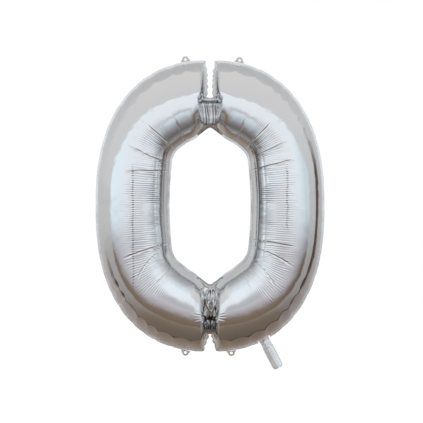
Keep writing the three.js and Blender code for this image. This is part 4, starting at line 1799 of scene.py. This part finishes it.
def level_card(name: str, height: float, side: float, stops: list[tuple[float, tuple]]) -> bpy.types.Object:
    """Make a level card in front of the hole, which shines on one side and fades out at its edges.

    Args:
        name: Name of the card.
        height: Height over the balloon's middle.
        side: 1 when the card shines up, -1 when it shines down.
        stops: Colours from the card's far edge to its edge near the balloon.

    Returns:
        The card, which the camera doesn't see.
    """
    material = bpy.data.materials.new(name)
    tree = blank_tree(material)
    spot = tree.add("SeparateXYZ", {0: tree.add("TexCoord").outputs["Object"]})
    far, near, half = -STUDIO.card_far, -STUDIO.card_near, STUDIO.card_half_width
    colour = tree.ramp(tree.span(spot.outputs["Y"], far, near), stops)
    glow = tree.add("Emission", {"Color": colour, "Strength": 1.0})
    clear = tree.add("BsdfTransparent")
    fade = tree.span(tree.math("ABSOLUTE", spot.outputs["X"]), 0.4 * half, half)
    fade = tree.math("MAXIMUM", fade, tree.span(spot.outputs["Y"], near - STUDIO.card_fade, near))
    hidden = tree.math("MAXIMUM", fade, tree.add("NewGeometry").outputs["Backfacing"])
    mix = tree.add("MixShader", {0: hidden, 1: glow.outputs[0], 2: clear.outputs[0]})
    tree.add("OutputMaterial", {"Surface": mix.outputs[0]})
    return light_plane(name, level_corners(half * side, far, near, CENTRE_Z + height), material)


def floor_plane() -> bpy.types.Object:
    """Make the plain pale floor."""
    material = bpy.data.materials.new("pale_floor")
    material.use_nodes = True
    tree = Tree(material.node_tree)
    shader = next(node for node in material.node_tree.nodes if node.type == "BSDF_PRINCIPLED")
    noise = tree.add("TexNoise", {"Vector": tree.add("TexCoord").outputs["Object"], "Scale": 6.0})
    tone = tree.ramp(noise.outputs["Fac"], [(0.0, linear(243, 243, 243)), (1.0, linear(249, 249, 249))])
    tree.tree.links.new(tone, shader.inputs["Base Color"])
    shader.inputs["Roughness"].default_value = 0.9
    shader.inputs["Emission Color"].default_value = (1.0, 1.0, 1.0, 1.0)
    shader.inputs["Emission Strength"].default_value = STUDIO.floor_glow
    half = STUDIO.floor_half_size
    floor = stage_plane("floor", level_corners(half, -half, half, STUDIO.floor_height), material)
    floor.visible_glossy = False
    return floor


def set_world() -> None:
    """Light the balloon from a plain room, and show white behind it."""
    world = bpy.data.worlds.new("room")
    bpy.context.scene.world = world
    tree = blank_tree(world)
    way = tree.add("SeparateXYZ", {0: tree.add("TexCoord").outputs["Generated"]})
    rise = tree.math("MULTIPLY_ADD", way.outputs["Z"], 0.5, 0.5)
    near = tree.ramp(rise, lit_stops(
        (0.0, 100, 89, 79), (0.15, 118, 104, 91), (0.3, 152, 148, 146), (0.4, 166, 164, 163),
        (0.47, 184, 184, 184), (0.56, 198, 199, 200), (0.75, 203, 202, 202), (1.0, 208, 206, 204),
    ))
    behind = tree.ramp(rise, lit_stops(
        (0.0, 118, 102, 88), (0.1, 132, 117, 104), (0.3, 156, 148, 144), (0.45, 182, 180, 178),
        (0.56, 194, 195, 196), (0.7, 188, 188, 188), (0.85, 180, 180, 181), (1.0, 168, 167, 168),
    ))
    room = tree.mix(tree.span(way.outputs["Y"], 0.05, 0.6), near, behind)
    turn = tree.math("ARCTAN2", way.outputs["X"], tree.math("MULTIPLY", way.outputs["Y"], -1.0))
    away = tree.math("MULTIPLY_ADD", turn, 0.5 / math.pi, 0.5)
    white, brown = (1.0, 1.0, 1.0, 1.0), (0.2, 0.13, 0.1, 1.0)
    bands = tree.ramp(away, [
        (0.0, white), (0.165, white), (0.175, brown), (0.195, brown), (0.205, white),
        (0.5, white), (0.76, (0.9, 0.91, 0.92, 1.0)), (0.785, (0.74, 0.75, 0.77, 1.0)), (0.79, brown),
        (0.825, brown), (0.835, (0.8, 0.8, 0.82, 1.0)), (1.0, white),
    ])
    level = tree.math("MULTIPLY_ADD", way.outputs["X"], 0.3, tree.math("MULTIPLY", way.outputs["Z"], -1.0))
    plain = tree.mix(tree.span(level, 0.12, -0.12), bands, white)
    colour = tree.mix(1.0, room, plain, blend_type="MULTIPLY")
    seen = tree.add("Background", {"Color": colour, "Strength": 1.0})
    backdrop = tree.add("Background", {"Color": white, "Strength": 1.0})
    camera_ray = tree.add("LightPath").outputs["Is Camera Ray"]
    mix = tree.add("MixShader", {0: camera_ray, 1: seen.outputs[0], 2: backdrop.outputs[0]})
    tree.add("OutputWorld", {"Surface": mix.outputs[0]})


def set_camera() -> None:
    """Place the camera straight in front of the balloon."""
    data = bpy.data.cameras.new("camera")
    data.lens = STUDIO.lens
    camera = bpy.data.objects.new("camera", data)
    camera.location = (STUDIO.camera_x, -STUDIO.camera_distance, CENTRE_Z + STUDIO.camera_rise)
    camera.rotation_euler = (math.pi / 2, 0.0, 0.0)
    bpy.context.scene.collection.objects.link(camera)
    bpy.context.scene.camera = camera
    bpy.context.scene.view_settings.view_transform = "Standard"


# ---- Assembly ----------------------------------------------------------------------


def build_welds(half: Half, film: LimbFilm) -> list[bpy.types.Object]:
    """Make the welded rims of one half ring. The tail parts the right half's outer rim in two.

    Args:
        half: The half ring.
        film: Its front sheet.

    Returns:
        The inner rim, the outer rim and, on the right, the heel.
    """
    paths = weld_paths(film)
    outer = paths["outer"]
    stretches = [("inner", paths["inner"]), ("outer", outer)]
    if half is Half.RIGHT:
        reach = (TAIL.width / 2 + 1 * MM) * abs(math.cos(RimFrame(TAIL.x, -1.0).turn))
        low = outer[:, 1] < 0
        heel = outer[:np.flatnonzero(low & (outer[:, 0] > TAIL.x - reach))[0]]
        upper = outer[np.flatnonzero(~low | (outer[:, 0] > TAIL.x + reach))[0]:]
        stretches[1:] = [("outer", upper), ("heel", heel)]
    seed = 90 + 5 * (half is Half.RIGHT)
    return [RimWeld(f"{half.label}_{word}_weld", half, path, f"{half.label}_{word}_seam", seed + k).build()
            for k, (word, path) in enumerate(stretches)]


def build_balloon() -> list[bpy.types.Object]:
    """Make every piece of the balloon, from its films out to its tabs and tail."""
    made = []
    for half in Half:
        films = {face: LimbFilm(half, face) for face in Face}
        made += [film.build() for film in films.values()]
        made += build_welds(half, films[Face.FRONT])
    for neck, side, name in ((TOP_NECK, 1.0, "top_neck"), (BOTTOM_NECK, -1.0, "bottom_neck")):
        made += [NeckWall(neck, side, face, f"{name}_{face.label}").build() for face in Face]
    made += [TabFilm(tab).build() for tab in TABS]
    made += [TailFilm(face).build() for face in Face]
    return made


def dress_valve() -> None:
    """Give the valve's CAD films their finish."""
    for face in Face:
        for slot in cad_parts[f"valve_{face.label}_film"].material_slots:
            slot.material = FINISHES.valve


def main() -> None:
    """Build the balloon and its stage."""
    for piece in build_balloon():
        LOG.info("%s: %d faces", piece.name, len(piece.data.polygons))
    dress_valve()
    light_wall()
    level_card("grey_card", STUDIO.card_height, 1.0, lit_stops(
        (0.0, 206, 216, 222), (0.26, 198, 209, 216), (0.54, 160, 165, 171), (0.68, 126, 122, 123),
        (0.81, 98, 94, 91), (0.9, 126, 124, 125), (1.0, 152, 153, 156),
    ))
    level_card("pale_card", -STUDIO.card_height, -1.0, lit_stops(
        (0.0, 226, 235, 240), (0.49, 226, 235, 240), (0.68, 203, 211, 214), (0.81, 168, 171, 174),
        (1.0, 130, 131, 136),
    ))
    floor_plane()
    set_world()
    set_camera()


FINISHES = Finishes()

if __name__ == "__main__":
    logging.basicConfig(level=logging.INFO, format="%(name)s: %(message)s")
    main()
